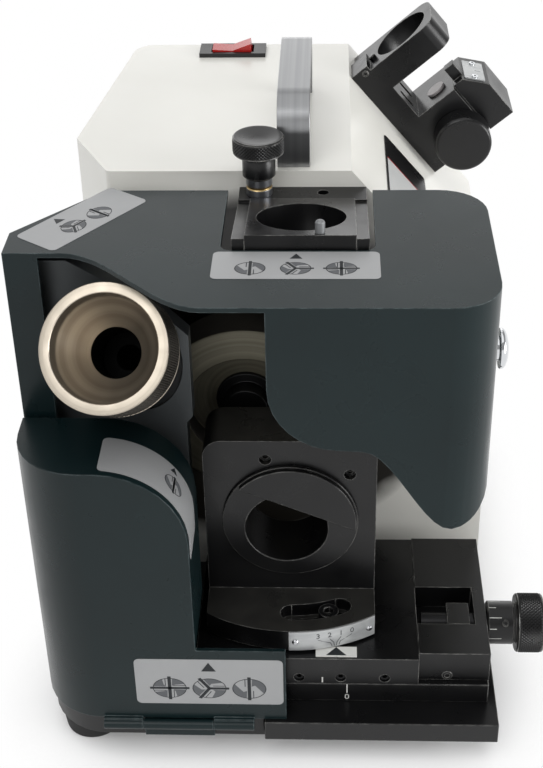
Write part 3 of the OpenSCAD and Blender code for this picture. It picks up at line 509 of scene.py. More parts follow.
# Near black with little shine: painted shade for the deep bore and the collet inside the chuck.
BORE_SHADE = finish_of("bore_painted_shade", (7, 7, 7), (5, 5, 5), 0.7, 3600, 0.03, specular=0.08,
                       **ON_CHUCK)
BRUSHED = finish_of("brushed_strap", (152, 153, 154), (134, 135, 137), 0.3, 2600, 0.01,
                    Grain.BRUSHED, metallic=1.0, grain_rise=26, rough_swing=0.04,
                    centre=(15.5, 142.0, 236.0), axis=(0, 1, 0))
BRIGHT = finish_of("bright_steel_face", (196, 197, 199), (168, 169, 172), 0.28, 2400, 0.02,
                   metallic=1.0)
DARK_STEEL = finish_of("dark_steel_face", (58, 58, 59), (44, 44, 45), 0.38, 2600, 0.03,
                       metallic=0.8)
GREY_PLATE = finish_of("grey_port_plate", (90, 94, 96), (76, 80, 82), 0.42, 1500, 0.04,
                       metallic=0.3)
CHROME = finish_of("screw_chrome", (222, 224, 226), (206, 208, 211), 0.1, 1800, 0.01,
                   metallic=1.0, rough_swing=0.05)
ZINC = finish_of("zinc_screw", (178, 180, 184), (150, 152, 158), 0.34, 2200, 0.03,
                 metallic=1.0)
BRASS = finish_of("collar_brass", (188, 164, 116), (160, 136, 92), 0.3, 4200, 0.02, Grain.TURNED,
                  metallic=1.0, centre=(2.1, 94.6, 218.0))
WHEEL = finish_of("wheel_turned_metal", (134, 130, 112), (112, 107, 91), 0.5, 3400, 0.04,
                  Grain.TURNED, metallic=0.3, centre=(-5.0, 84.0, 126.0), axis=(0, 1, 0))
GRIT = finish_of("wheel_grit", (56, 52, 45), (42, 39, 34), 0.7, 3800, 0.4, metallic=0.2)
LAMINATION = finish_of("core_lamination", (112, 116, 122), (84, 88, 94), 0.5, 6000, 0.1,
                       Grain.TURNED, metallic=0.8, centre=(-5.0, 150.0, 126.0), axis=(0, 1, 0))
COPPER = finish_of("winding_copper", (168, 92, 52), (128, 64, 36), 0.4, 2400, 0.4, Grain.TURNED,
                   metallic=0.8, centre=(-5.0, 150.0, 126.0), axis=(0, 1, 0))
BELL = finish_of("end_bell_cast", (150, 152, 154), (126, 128, 130), 0.55, 1000, 0.12,
                 metallic=0.7)
PLASTIC = finish_of("black_moulding", (24, 24, 25), (19, 19, 20), 0.34, 1500, 0.04)
FAN = finish_of("fan_moulding", (52, 54, 58), (42, 44, 48), 0.5, 1300, 0.05)
WHITE_CASE = finish_of("capacitor_case", (222, 222, 218), (212, 212, 207), 0.45, 1200, 0.04)
RED_LENS = finish_of("red_rocker_lens", (190, 28, 24), (164, 16, 14), 0.26, 700, 0.02, coat=0.15,
                     rough_swing=0.06)
STICKER = finish_of("sticker_film", (164, 165, 166), (157, 158, 159), 0.42, 1700, 0.02,
                    metallic=0.15)
INK = finish_of("sticker_ink", (38, 41, 44), (30, 33, 36), 0.5, 1900, 0.01,
                specular=0.3)
PALE_INK = finish_of("sticker_pale_ink", (96, 98, 101), (88, 90, 93), 0.5, 1900, 0.01,
                     specular=0.3)
LABEL_BLACK = finish_of("label_black_film", (16, 16, 17), (12, 12, 13), 0.3, 1500, 0.02)
LABEL_RED = finish_of("label_red_line", (158, 32, 34), (140, 26, 28), 0.35, 1500, 0.02)
LABEL_PALE = finish_of("label_pale_field", (190, 191, 190), (182, 183, 182), 0.35, 1500, 0.02)
ENGRAVED = finish_of("engraved_white", (226, 226, 222), (206, 206, 202), 0.6, 2600, 0.02)
ANVIL = finish_of("ground_anvil_face", (176, 172, 172), (162, 158, 158), 0.5, 2600, 0.02,
                  metallic=0.25)
SCALE_SILVER = finish_of("scale_silver", (196, 198, 198), (178, 180, 181), 0.36, 2400, 0.01,
                         Grain.BRUSHED, metallic=0.5, centre=(30.0, 18.0, 50.0), axis=(1, 0, 0))


def link(name: str, data: bpy.types.ID) -> bpy.types.Object:
    """Puts a mesh, a lamp or a camera into the scene as an object at the origin."""
    made = bpy.data.objects.new(name, data)
    bpy.context.scene.collection.objects.link(made)
    return made


def seat(piece: bpy.types.Object, body: Body, slot: str, *nodes: str) -> bpy.types.Object:
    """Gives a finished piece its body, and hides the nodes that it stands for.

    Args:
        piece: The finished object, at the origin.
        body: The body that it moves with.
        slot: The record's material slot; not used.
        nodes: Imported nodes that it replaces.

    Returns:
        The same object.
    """
    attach(piece, body.value)
    if nodes:
        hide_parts(*nodes)
    LOG.info("%s on %s", piece.name, body.value)
    return piece


def dress(node: str, finish: Finish, round_mm: float = 0.4, segments: int = 2,
          bevel_angle: float = 32.0, merge: bool = True,
          prepare: Optional[Callable[[bmesh.types.BMesh], None]] = None) -> bpy.types.Object:
    """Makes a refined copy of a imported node, with softened edges and its own finish.

    Args:
        node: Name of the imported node.
        finish: Its finish.
        round_mm: Width of the softened edges, or 0 for a cut plate with plain edges.
        segments: Steps across a softened edge.
        bevel_angle: Edges sharper than this are softened, in degrees.
        merge: Whether faces in one plane are joined first; a plate with many slots stays cut.
        prepare: Work done on the copied form before its edges are softened, or none.

    Returns:
        The new piece.
    """
    source = frame["nodes"][node]
    mesh = source.data.copy()
    mesh.name = node + "_form"
    work = bmesh.new()
    work.from_mesh(mesh)
    bmesh.ops.remove_doubles(work, verts=work.verts, dist=2e-6)
    if merge:
        bmesh.ops.dissolve_limit(work, angle_limit=math.radians(0.4), verts=work.verts,
                                 edges=work.edges)
    if prepare is not None:
        prepare(work)
    for face in work.faces:
        face.smooth = round_mm > 0.0
        face.material_index = 0
    work.to_mesh(mesh)
    work.free()
    mesh.materials.clear()
    mesh.materials.append(finish.material())
    piece = link(node + "_skin", mesh)
    if round_mm > 0.0:
        soften(piece, round_mm, segments, bevel_angle)
    return seat(piece, Body(source["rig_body"]), SLOT_OF_NODE[node], node)


def soften(piece: bpy.types.Object, round_mm: float, segments: int = 2,
           bevel_angle: float = 32.0) -> None:
    """Adds a bevel that rounds a piece's sharp edges."""
    bevel = piece.modifiers.new("soft_edges", "BEVEL")
    bevel.width = round_mm * MM
    bevel.segments = segments
    bevel.limit_method = "ANGLE"
    bevel.angle_limit = math.radians(bevel_angle)
    bevel.use_clamp_overlap = True
    bevel.miter_outer = "MITER_ARC"
    even = piece.modifiers.new("even_faces", "WEIGHTED_NORMAL")
    even.mode = "FACE_AREA"
    even.weight = 90


class Shape:
    """A mesh under construction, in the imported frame's metres."""

    def __init__(self, place: Optional[Matrix] = None) -> None:
        """Starts an empty mesh whose points are given in millimetres of a placement."""
        self.work = bmesh.new()
        self.place = place or Matrix.Identity(4)

    def point(self, place: Sequence[float]) -> bmesh.types.BMVert:
        """Adds a point given in local millimetres."""
        return self.work.verts.new(self.place @ (Vector(place) * MM))

    def face(self, corners: Sequence[bmesh.types.BMVert]) -> None:
        """Adds a face between points."""
        self.work.faces.new(corners)

    def join(self, rings: Sequence[Sequence[bmesh.types.BMVert]], sides: int) -> None:
        """Adds the faces between each ring and the next; a ring may be a single point."""
        for low, high in zip(rings, rings[1:]):
            for k in range(sides):
                loop = list(dict.fromkeys([
                    low[k % len(low)], low[(k + 1) % len(low)],
                    high[(k + 1) % len(high)], high[k % len(high)]]))
                if len(loop) > 2:
                    self.face(loop)

    def lathe(self, profile: Sequence[Point2], sides: int = 96) -> "Shape":
        """Turns a profile of radius and height about the local z axis.

        Args:
            profile: Radius and height pairs; a first or last radius of zero closes the end.
            sides: Steps round the axis.

        Returns:
            This shape.
        """
        rings = []
        for radius, height in profile:
            steps = sides if radius > 1e-6 else 1
            rings.append([self.point((radius * math.cos(TWO_PI * k / sides),
                                      radius * math.sin(TWO_PI * k / sides), height))
                          for k in range(steps)])
        self.join(rings, sides)
        return self

    def over(self, surface: Surface, outline: Sequence[Point2], low: float,
             high: float) -> "Shape":
        """Raises an outline off a curved surface.

        Args:
            surface: Turns a place along, a place across and a height into a local point.
            outline: The outline's places along and across.
            low: Height of its underside.
            high: Height of its top.

        Returns:
            This shape.
        """
        floor = [self.point(surface(x, y, low)) for x, y in outline]
        roof = [self.point(surface(x, y, high)) for x, y in outline]
        self.face(list(reversed(floor)))
        self.face(roof)
        self.join([floor, roof], len(outline))
        return self

    def prism(self, outline: Sequence[Point2], low: float, high: float) -> "Shape":
        """Raises a flat outline from one height to another along the local z axis."""
        return self.over(flat, outline, low, high)

    def strip(self, surface: Surface, length: float, width: float, corner: float,
              thick: float, steps: int = 40) -> "Shape":
        """Lays a thin round-cornered strip on a surface.

        Args:
            surface: Turns a place along, a place across and a height into a local point.
            length: Length along the surface.
            width: Width across it.
            corner: Radius of its corners.
            thick: Thickness of the film.
            steps: Steps along its length.

        Returns:
            This shape.
        """
        bends = [corner * (1 - math.cos(math.pi * k / 12)) for k in range(7)]
        cuts = sorted({0.0, length, *bends} | {length - bend for bend in bends}
                      | {length * k / steps for k in range(1, steps)
                         if corner < length * k / steps < length - corner})
        rows = []
        for cut in cuts:
            reach = corner - min(corner, cut, length - cut)
            trim = corner - math.sqrt(max(0.0, corner ** 2 - reach ** 2))
            half = width / 2 - trim
            rows.append([self.point(surface(cut, side * half, height))
                         for height in (0.0, thick) for side in (-1, 1)])
        for a, b in zip(rows, rows[1:]):
            for i, j in ((2, 3), (1, 0), (0, 2), (3, 1)):
                self.face([a[i], b[i], b[j], a[j]])
        for row, order in ((rows[0], (0, 2, 3, 1)), (rows[-1], (1, 3, 2, 0))):
            self.face([row[k] for k in order])
        return self

    def take(self, mesh: bpy.types.Mesh) -> "Shape":
        """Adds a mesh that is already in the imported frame."""
        self.work.from_mesh(mesh)
        return self

    def mesh(self, name: str, smooth_angle: float = 35.0) -> bpy.types.Mesh:
        """Closes the shape and gives its mesh.

        Args:
            name: Name of the mesh.
            smooth_angle: Edges flatter than this are shaded smooth, in degrees.

        Returns:
            The finished mesh.
        """
        bmesh.ops.remove_doubles(self.work, verts=self.work.verts, dist=1e-7)
        bmesh.ops.recalc_face_normals(self.work, faces=self.work.faces)
        for face in self.work.faces:
            face.smooth = True
        made = bpy.data.meshes.new(name)
        self.work.to_mesh(made)
        self.work.free()
        made.set_sharp_from_angle(angle=math.radians(smooth_angle))
        return made


def new_piece(name: str, shape: Shape, finish: Finish, body: Body, slot: str,
              *nodes: str, round_mm: float = 0.0) -> bpy.types.Object:
    """Makes a piece from a shape, with one finish.

    Args:
        name: The piece's name.
        shape: Its shape.
        finish: Its finish.
        body: The body that it rides on.
        slot: The record's material slot.
        nodes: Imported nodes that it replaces.
        round_mm: Width of its softened edges, or zero.

    Returns:
        The new piece.
    """
    mesh = shape.mesh(name + "_form")
    mesh.materials.append(finish.material())
    piece = link(name, mesh)
    if round_mm > 0.0:
        soften(piece, round_mm)
    return seat(piece, body, slot, *nodes)


def repaint(piece: bpy.types.Object, finish: Finish,
            chosen: Callable[[bpy.types.MeshPolygon], bool]) -> None:
    """Gives a further finish to those faces of a piece that pass a test."""
    piece.data.materials.append(finish.material())
    number = len(piece.data.materials) - 1
    for face in piece.data.polygons:
        if chosen(face):
            face.material_index = number


def plain_mesh(holder: bpy.types.Object) -> bpy.types.Mesh:
    """Gives an object's evaluated form as a plain mesh."""
    graph = bpy.context.evaluated_depsgraph_get()
    return bpy.data.meshes.new_from_object(holder.evaluated_get(graph), depsgraph=graph)


class GrownTrees:
    """The geometry node trees that make what repeats: knurls, graduations and screw heads."""

    def __init__(self) -> None:
        """Builds each tree once."""
        self.knurl = self._knurl()
        self.ticks = self._ticks()
        self.heads = self._heads()

    @staticmethod
    def _start(name: str, inputs: dict[str, Sequence[str]]) -> tuple[Group, Sequence[Socket]]:
        """Starts a tree that takes geometry, inputs by their kind of socket, and a finish."""
        group = Group(name, "Geometry", {
            "Geometry": ("Geometry",), **inputs, "Material": ("Finish",)})
        return group, group.given

    @staticmethod
    def _end(graph: Group, shape: Socket, finish: Socket) -> bpy.types.NodeTree:
        """Closes a tree with realized instances and a material, and gives it."""
        real = graph.add("GeometryNodeRealizeInstances", {0: shape})
        dyed = graph.add("GeometryNodeSetMaterial", {
            "Geometry": real.outputs[0], "Material": finish})
        return graph.close("Geometry", {"Geometry": dyed.outputs[0]})

    def _knurl(self) -> bpy.types.NodeTree:
        """Makes a diamond knurl: a grid rolled up, cut by two sets of crossing grooves."""
        graph, pick = self._start("diamond_knurl", {
            "Float": ("Radius", "Length", "Teeth", "Rows", "Depth"),
            "Int": ("Steps Round", "Steps Along")})
        grid = graph.add("GeometryNodeMeshGrid", {
            "Size X": 1.0, "Size Y": 1.0, "Vertices X": pick["Steps Round"],
            "Vertices Y": pick["Steps Along"]})
        x, y, _ = graph.split(graph.add("GeometryNodeInputPosition").outputs[0])
        around, row = graph.product(x, pick["Teeth"]), graph.product(y, pick["Rows"])
        ridges = []
        for operation in ("ADD", "SUBTRACT"):
            phase = graph.math("FRACT", graph.math(operation, around, row))
            ridge = graph.math("ABSOLUTE", graph.math("SUBTRACT", phase, 0.5))
            ridges.append(graph.product(ridge, 2.0))
        fade = graph.product(graph.math("ABSOLUTE", y), 2.0)
        rim = graph.math("MAXIMUM", graph.math("MAXIMUM", *ridges),
                         graph.math("POWER", fade, 14.0))
        radius = graph.math("SUBTRACT", pick["Radius"], graph.product(rim, pick["Depth"]))
        rolled = graph.polar(graph.product(x, TWO_PI), radius, graph.product(y, pick["Length"]))
        moved = graph.add("GeometryNodeSetPosition", {
            "Geometry": grid.outputs[0], "Position": rolled})
        whole = graph.add("GeometryNodeMergeByDistance", {
            "Geometry": moved.outputs[0], "Distance": 1e-6})
        return self._end(graph, whole.outputs[0], pick["Finish"])

    def _ticks(self) -> bpy.types.NodeTree:
        """Makes graduation lines set round an arc about the local z axis."""
        graph, pick = self._start("graduation_lines", {
            "Float": ("Radius", "First Angle", "Step Angle", "Length", "Width", "Thickness"),
            "Int": ("Count", "Long Every")})
        row = graph.add("GeometryNodeMeshLine", {
            "Count": pick["Count"], "Offset": (0.0, 0.0, 0.0)})
        number = graph.add("GeometryNodeInputIndex").outputs[0]
        angle = graph.math("MULTIPLY_ADD", number, pick["Step Angle"], pick["First Angle"])
        placed = graph.add("GeometryNodeSetPosition", {
            "Geometry": row.outputs[0], "Position": graph.polar(angle, pick["Radius"])})
        bar = graph.add("GeometryNodeMeshCube", {
            "Size": graph.vector(pick["Thickness"], pick["Width"], pick["Length"])})
        seated = graph.add("GeometryNodeTransform", {
            "Geometry": bar.outputs[0],
            "Translation": graph.vector(z=graph.product(pick["Length"], 0.5))})
        main = graph.math("LESS_THAN", graph.math("MODULO", number, pick["Long Every"]), 0.5)
        many = graph.add("GeometryNodeInstanceOnPoints", {
            "Points": placed.outputs[0], "Instance": seated.outputs[0],
            "Rotation": graph.vector(z=angle),
            "Scale": graph.vector(1.0, 1.0, graph.math("MULTIPLY_ADD", main, 0.7, 1.0))})
        return self._end(graph, many.outputs[0], pick["Finish"])

    def _heads(self) -> bpy.types.NodeTree:
        """Makes a copy of a screw head on every point of a mesh, along the point's ``way``."""
        graph, pick = self._start("screw_heads", {"Object": ("Head",)})
        head = graph.add("GeometryNodeObjectInfo", {"Object": pick["Head"]})
        stored = graph.add("GeometryNodeInputNamedAttribute", {"Name": "way"},
                           data_type="FLOAT_VECTOR")
        way = graph.add("FunctionNodeAlignRotationToVector", {
            "Vector": stored.outputs["Attribute"]}, axis="Z")
        many = graph.add("GeometryNodeInstanceOnPoints", {
            "Points": pick["Geometry"], "Instance": head.outputs["Geometry"],
            "Rotation": way.outputs[0]})
        return self._end(graph, many.outputs[0], pick["Finish"])

    @staticmethod
    def grow(tree: bpy.types.NodeTree, values: dict[str, object], place: Matrix,
             source: Optional[bpy.types.Mesh] = None) -> bpy.types.Mesh:
        """Runs a tree and gives its result as a plain mesh.

        Args:
            tree: The geometry node tree.
            values: Input name to value.
            place: Where the result goes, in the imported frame.
            source: Mesh that the tree starts from, or none.

        Returns:
            The grown mesh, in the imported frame.
        """
        holder = link("grow_holder", source or bpy.data.meshes.new("grow_source"))
        modifier = holder.modifiers.new("grow", "NODES")
        modifier.node_group = tree
        for item in tree.interface.items_tree:
            if item.in_out == "INPUT" and item.name in values:
                modifier[item.identifier] = values[item.name]
        holder.update_tag()
        made = plain_mesh(holder)
        holder.modifiers.remove(modifier)
        bpy.data.objects.remove(holder)
        made.transform(place)
        return made


TREES = GrownTrees()


@dataclass
class TurnedKnob:
    """A turned knob whose grip is knurled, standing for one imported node."""

    node: str
    body: Body
    place: Matrix
    profile: Sequence[Point2]
    grip_radius: float
    grip_low: float
    grip_high: float
    teeth: int
    rows: float
    depth: float
    finish: Finish
    grip_finish: Finish

    def build(self) -> bpy.types.Object:
        """Builds the turned form and rolls the knurl onto its grip.

        Returns:
            The knob's piece.
        """
        form = Shape(self.place).lathe(self.profile, 128).mesh(self.node + "_turned")
        form.materials.append(self.finish.material())
        form.materials.append(self.grip_finish.material())
        middle = Matrix.Translation((0, 0, (self.grip_low + self.grip_high) / 2 * MM))
        grip = TREES.grow(TREES.knurl, {
            "Radius": self.grip_radius * MM, "Length": (self.grip_high - self.grip_low) * MM,
            "Teeth": float(self.teeth), "Rows": self.rows, "Depth": self.depth * MM,
            "Steps Round": self.teeth * 6 + 1,
            "Steps Along": max(6, int(self.rows * 6)) + 1,
            "Finish": self.grip_finish.material()}, self.place @ middle)
        work = bmesh.new()
        work.from_mesh(form)
        for face in work.faces:
            face.material_index = 0
        before = len(work.faces)
        work.from_mesh(grip)
        work.faces.ensure_lookup_table()
        for face in work.faces[before:]:
            face.material_index = 1
            face.smooth = True
        work.to_mesh(form)
        work.free()
        form.set_sharp_from_angle(angle=math.radians(38))
        piece = link(self.node + "_skin", form)
        return seat(piece, self.body, SLOT_OF_NODE[self.node], self.node)


@dataclass
class SocketScrews:
    """Socket screws of one size, set at several places of one body."""

    name: str
    body: Body
    spots: Sequence[tuple[Vector, Sequence[float]]]
    radius: float = 2.2
    rise: float = 0.3
    finish: Finish = BLACKENED

    def build(self) -> bpy.types.Object:
        """Sets a copy of the head at every place.

        Returns:
            The screws as one piece.
        """
        points = bpy.data.meshes.new(self.name + "_points")
        points.from_pydata([tuple(spot) for spot, _ in self.spots], [], [])
        ways = points.attributes.new("way", "FLOAT_VECTOR", "POINT")
        for item, (_, way) in zip(ways.data, self.spots):
            item.vector = Vector(way).normalized()
        head = link(self.name + "_head", self._head())
        grown = TREES.grow(TREES.heads, {"Head": head, "Finish": self.finish.material()},
                           Matrix.Identity(4), points)
        bpy.data.objects.remove(head)
        grown.set_sharp_from_angle(angle=math.radians(35))
        return seat(link(self.name, grown), self.body, "dark_steel")

    def _head(self) -> bpy.types.Mesh:
        """Makes one head: a chamfered disc with a six-sided socket."""
        shape, sides, chamfer, sunk, deep = Shape(), 24, 0.25, 0.6, 1.4
        top, socket = self.rise, self.radius * 0.52
        rings = []
        for radius, height, six in (
                (self.radius, -sunk, False), (self.radius, top - chamfer, False),
                (self.radius - chamfer, top, False), (socket, top, True),
                (socket, top - deep, True)):
            ring = []
            for k in range(sides):
                angle = TWO_PI * k / sides
                fold = (angle % (math.pi / 3)) - math.pi / 6
                reach = radius * math.cos(math.pi / 6) / math.cos(fold) if six else radius
                ring.append(shape.point((reach * math.cos(angle), reach * math.sin(angle), height)))
            rings.append(ring)
        shape.join(rings, sides)
        shape.face(rings[-1])
        return shape.mesh(self.name + "_head_form")


def number_mesh(text: str, height: float, place: Matrix, low: float = 0.0,
                thick: float = 0.04) -> bpy.types.Mesh:
    """Makes plain numerals as a thin raised mesh.

    Args:
        text: The numerals.
        height: Height of a numeral, in millimetres.
        place: Placement of their middle; they read along its x and face its z.
        low: Height of their underside over the placement, in millimetres.
        thick: Thickness, in millimetres.

    Returns:
        The mesh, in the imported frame.
    """
    curve = bpy.data.curves.new("numerals", "FONT")
    curve.body = text
    curve.align_x = "CENTER"
    curve.align_y = "CENTER"
    curve.size = height * 1.42 * MM
    curve.extrude = thick / 2 * MM
    curve.resolution_u = 3
    holder = link("numeral_holder", curve)
    made = plain_mesh(holder)
    bpy.data.objects.remove(holder)
    made.transform(place @ Matrix.Translation((0, 0, (low + thick / 2) * MM)))
    made.materials.clear()
    return made


def flat(u: float, v: float, height: float) -> Vector:
    """Leaves a flat sticker's places as they are."""
    return Vector((u, v, height))


def oblong(low_x: float, low_y: float, high_x: float, high_y: float) -> list[Point2]:
    """Gives the outline of a rectangle from two opposite corners."""
    return [(low_x, low_y), (high_x, low_y), (high_x, high_y), (low_x, high_y)]


def bent_surface(middle: Point2, radius: float, start: float, depth_mid: float) -> Surface:
    """Makes the surface of a flange that bends round and then runs straight down.

    Args:
        middle: X and z of the bend's centre, in machine millimetres.
        radius: The bend's radius.
        start: Angle at which the surface starts, in degrees up from +x.
        depth_mid: Machine y of the middle of the surface.

    Returns:
        A surface whose points are machine millimetres.
    """
    arc = math.radians(start) * radius

    def point(u: float, v: float, height: float) -> Vector:
        """Gives the place at a length along and a width across."""
        reach = radius + height
        angle = math.radians(start) - u / radius if u < arc else 0.0
        drop = max(0.0, u - arc)
        return Vector((middle[0] + reach * math.cos(angle), depth_mid + v,
                       middle[1] + reach * math.sin(angle) - drop)) - MACHINE_CENTRE
    return point


@dataclass
class Sticker:
    """A printed film that shows the flute counts that a port is for."""

    name: str
    body: Body
    place: Matrix
    length: float
    width: float
    flutes: Sequence[int]
    surface: Surface = flat
    symbol_r: float = 5.6
    symbol_v: float = -2.4
    arrow: float = 2.3
    arrow_at: Optional[Point2] = None
    symbols_at: Optional[float] = None
    spacing: float = 0.27
    corner: float = 2.2
    thick: float = 0.14
    ink_low: float = 0.13
    ink_high: float = 0.19
    ink_line: float = 0.32

    def build(self) -> None:
        """Builds the film and its printed symbols."""
        film = Shape(self.place)
        film.strip(self.surface, self.length, self.width, self.corner, self.thick)
        new_piece(self.name + "_film", film, STICKER, self.body, "plate_silver")
        ink, pale = Shape(self.place), Shape(self.place)
        u, v = self.arrow_at or (self.length / 2, self.width / 2 - self.arrow - 1.4)
        ink.over(self.surface, [
            (u + x * self.arrow, v + y * self.arrow)
            for x, y in ((-1.0, -0.7), (1.0, -0.7), (0.0, 0.9))], self.ink_low, self.ink_high)
        middle = self.symbols_at or self.length / 2
        for k, number in enumerate(self.flutes):
            shift = (k - (len(self.flutes) - 1) / 2) * self.length * self.spacing
            self._flute(ink, pale, (middle + shift, self.symbol_v), number)
        new_piece(self.name + "_ink", ink, INK, self.body, "black_plastic")
        new_piece(self.name + "_tone", pale, PALE_INK, self.body, "black_plastic")

    def _flute(self, ink: Shape, pale: Shape, spot: Point2, number: int) -> None:
        """Prints the end view of a cutter with a number of flutes.

        Args:
            ink: Takes the dark outline and teeth.
            pale: Takes the grey gullets between the teeth.
            spot: Middle of the symbol, along and across the film.
            number: How many flutes.
        """
        radius, line, low, high = self.symbol_r, self.ink_line, self.ink_low, self.ink_high
        blade = 0.1 * radius
        heel, tip, shoulder = 2.2 * blade, 1.16 * radius, 0.93 * radius

        def turned(turn: float, ahead: float, aside: float = 0.0) -> Point2:
            """Gives the place ahead and aside of a direction, in a slightly flat circle."""
            return (spot[0] + ahead * math.cos(turn) - aside * math.sin(turn),
                    spot[1] + 0.8 * (ahead * math.sin(turn) + aside * math.cos(turn)))

        steps = 30
        for k in range(steps):
            a, b = TWO_PI * k / steps, TWO_PI * (k + 1) / steps
            ink.over(self.surface, [turned(a, radius - line), turned(a, radius),
                                    turned(b, radius), turned(b, radius - line)], low, high)
        first = math.pi / 2 if number == 2 else 0.0
        for k in range(number):
            turn = TWO_PI * k / number + first
            for bar in (oblong(0.0, -blade, tip, blade),
                        oblong(heel, heel, shoulder, heel + line)):
                ink.over(self.surface, [turned(turn, *corner) for corner in bar],
                         low, high + 0.01)
            sweep = 0.6 * TWO_PI / number
            gullet = [turned(turn - 0.18 - sweep * j / 8, radius - line) for j in range(9)]
            pale.over(self.surface, [turned(turn, heel, -1.4 * blade), *gullet,
                                     turned(turn, 0.34 * radius, -0.34 * radius)], low, high)


@dataclass
class BaseAndHousing:
    """The base on its feet, and the painted motor housing with its strap handle and switch."""

    housing_round: float = 7.5
    front_y: float = 100.0
    label_u: Point2 = (23.6, 52.4)
    label_y: Point2 = (112.0, 176.0)
    label_line_y: float = 154.0
    label_line_w: float = 1.0
    label_edge: float = 1.2

    def build(self) -> None:
        """Builds and dresses the base, the housing and what is on it."""
        dress("base_plate", BLACK_PAINT, 0.7)
        dress("rubber_feet", RUBBER, 1.0, 3)
        dress("foot_screws", ZINC, 0.2)
        dress("body_shell", HOUSING, 0.4, 2, prepare=self._round_housing)
        dress("rear_cover", CREAM, 0.0, merge=False)
        dress("rear_cover_screws", ZINC, 0.2)
        dress("handle", BRUSHED, 1.6, 4)
        dress("handle_screws", ZINC, 0.2)
        dress("switch_bezel", PLASTIC, 0.45, 3)
        dress("switch_rocker", RED_LENS, 0.5, 3)
        dress("power_inlet", PLASTIC, 0.35)
        self._label()

    def _round_housing(self, work: bmesh.types.BMesh) -> None:
        """Rounds the long outer edges and the front outline of the sheet housing."""
        middle = at(15.0, 170.0, 120.0)

        def outward(face: bmesh.types.BMFace) -> bool:
            """Tells whether a face looks away from the middle of the housing."""
            way = face.calc_center_median() - middle
            return face.normal.x * way.x + face.normal.z * way.z > 0.002

        front = at(0.0, self.front_y, 0.0).y
        chosen = []
        for edge in work.edges:
            if len(edge.link_faces) != 2 or edge.calc_face_angle(0.0) < math.radians(18):
                continue
            run = edge.verts[1].co - edge.verts[0].co
            long_edge = abs(run.y) > 100 * MM and all(outward(f) for f in edge.link_faces)
            at_front = max(abs(v.co.y - front) for v in edge.verts) < 0.1 * MM
            lip = at_front and run.length > 12 * MM and any(
                abs(f.normal.y) < 0.3 and outward(f) for f in edge.link_faces)
            if long_edge or lip:
                chosen.append(edge)
        bmesh.ops.bevel(work, geom=chosen, offset=self.housing_round * MM, segments=6,
                        profile=0.5, affect="EDGES", clamp_overlap=True)

    def _label(self) -> None:
        """Lays the plain banded plate on the sloping shoulder."""
        place = plane_frame(at(*SLOPE_START), GAUGE_U, (0, 1, 0))
        width = self.label_u[1] - self.label_u[0]
        depth = self.label_y[1] - self.label_y[0]
        middle_y = (self.label_y[0] + self.label_y[1]) / 2
        edge, line = self.label_edge, self.label_line_y

        def band(low_y: float, high_y: float, rise: float) -> Shape:
            """Makes a flat band across the plate."""
            return Shape(place).prism(oblong(self.label_u[0] + edge, low_y,
                                             self.label_u[1] - edge, high_y), 0.1, rise)

        plate = Shape(place @ Matrix.Translation((self.label_u[0] * MM, middle_y * MM, 0)))
        plate.strip(flat, width, depth, 2.0, 0.35)
        new_piece("slope_label_plate", plate, LABEL_BLACK, Body.MACHINE, "black_plastic")
        pale = band(self.label_y[0] + edge, line - self.label_line_w, 0.39)
        new_piece("slope_label_field", pale, LABEL_PALE, Body.MACHINE, "plate_silver")
        red = band(line - self.label_line_w, line, 0.4)
        new_piece("slope_label_line", red, LABEL_RED, Body.MACHINE, "red_plastic")


@dataclass
class Motor:
    """The motor inside the housing, with the cup wheel of darker bonded grit on its shaft."""

    grit_from: float = -0.6

    def build(self) -> None:
        """Dresses the still and the turning parts of the motor, and the wheel."""
        for node, finish in (
                ("stator_pack", LAMINATION), ("stator_windings", COPPER),
                ("motor_end_bells", BELL), ("spindle_bearings", BRIGHT),
                ("run_capacitor", WHITE_CASE), ("spindle", BRIGHT), ("rotor_core", LAMINATION),
                ("cooling_fan", FAN)):
            dress(node, finish, 0.4)
        dress("wheel_hub", DARK_STEEL, 0.5)
        wheel = dress("grinding_wheel", WHEEL, 0.7, 3)
        repaint(wheel, GRIT, lambda face: face.normal.y > self.grit_from)
        dress("wheel_nut", DARK_STEEL, 0.5)


@dataclass
class Guard:
    """The painted guard over the wheel, its post and the mushroom screw that holds it."""

    top: float = 220.0
    front_sticker: Point2 = (-12.3, 30.0)
    left_from: Point3 = (-79.2, 46.3, 0.0)
    left_to: Point3 = (-48.8, 87.7, 0.0)
    sticker_w: float = 20.0

    def build(self) -> None:
        """Dresses the guard and lays the stickers on its top."""
        dress("upper_guard", TEAL, 0.75, 3)
        dress("guard_post", TEAL, 0.5)
        dress("guard_screw", CHROME, 0.25)
        Sticker("guard_front_sticker", Body.MACHINE,
                plane_frame(at(*self.front_sticker, self.top), (1, 0, 0), (0, 1, 0)),
                60.3, self.sticker_w, (2, 3, 4)).build()
        corner = Vector(self.left_from)
        along = Vector(self.left_to) - corner
        Sticker("guard_left_sticker", Body.MACHINE,
                plane_frame(at(corner.x, corner.y, self.top), along, (-along.y, along.x, 0)),
                along.length, self.sticker_w, (3, 2), symbol_r=5.4, symbol_v=-2.0,
                arrow_at=(along.length * 0.36, 6.2)).build()


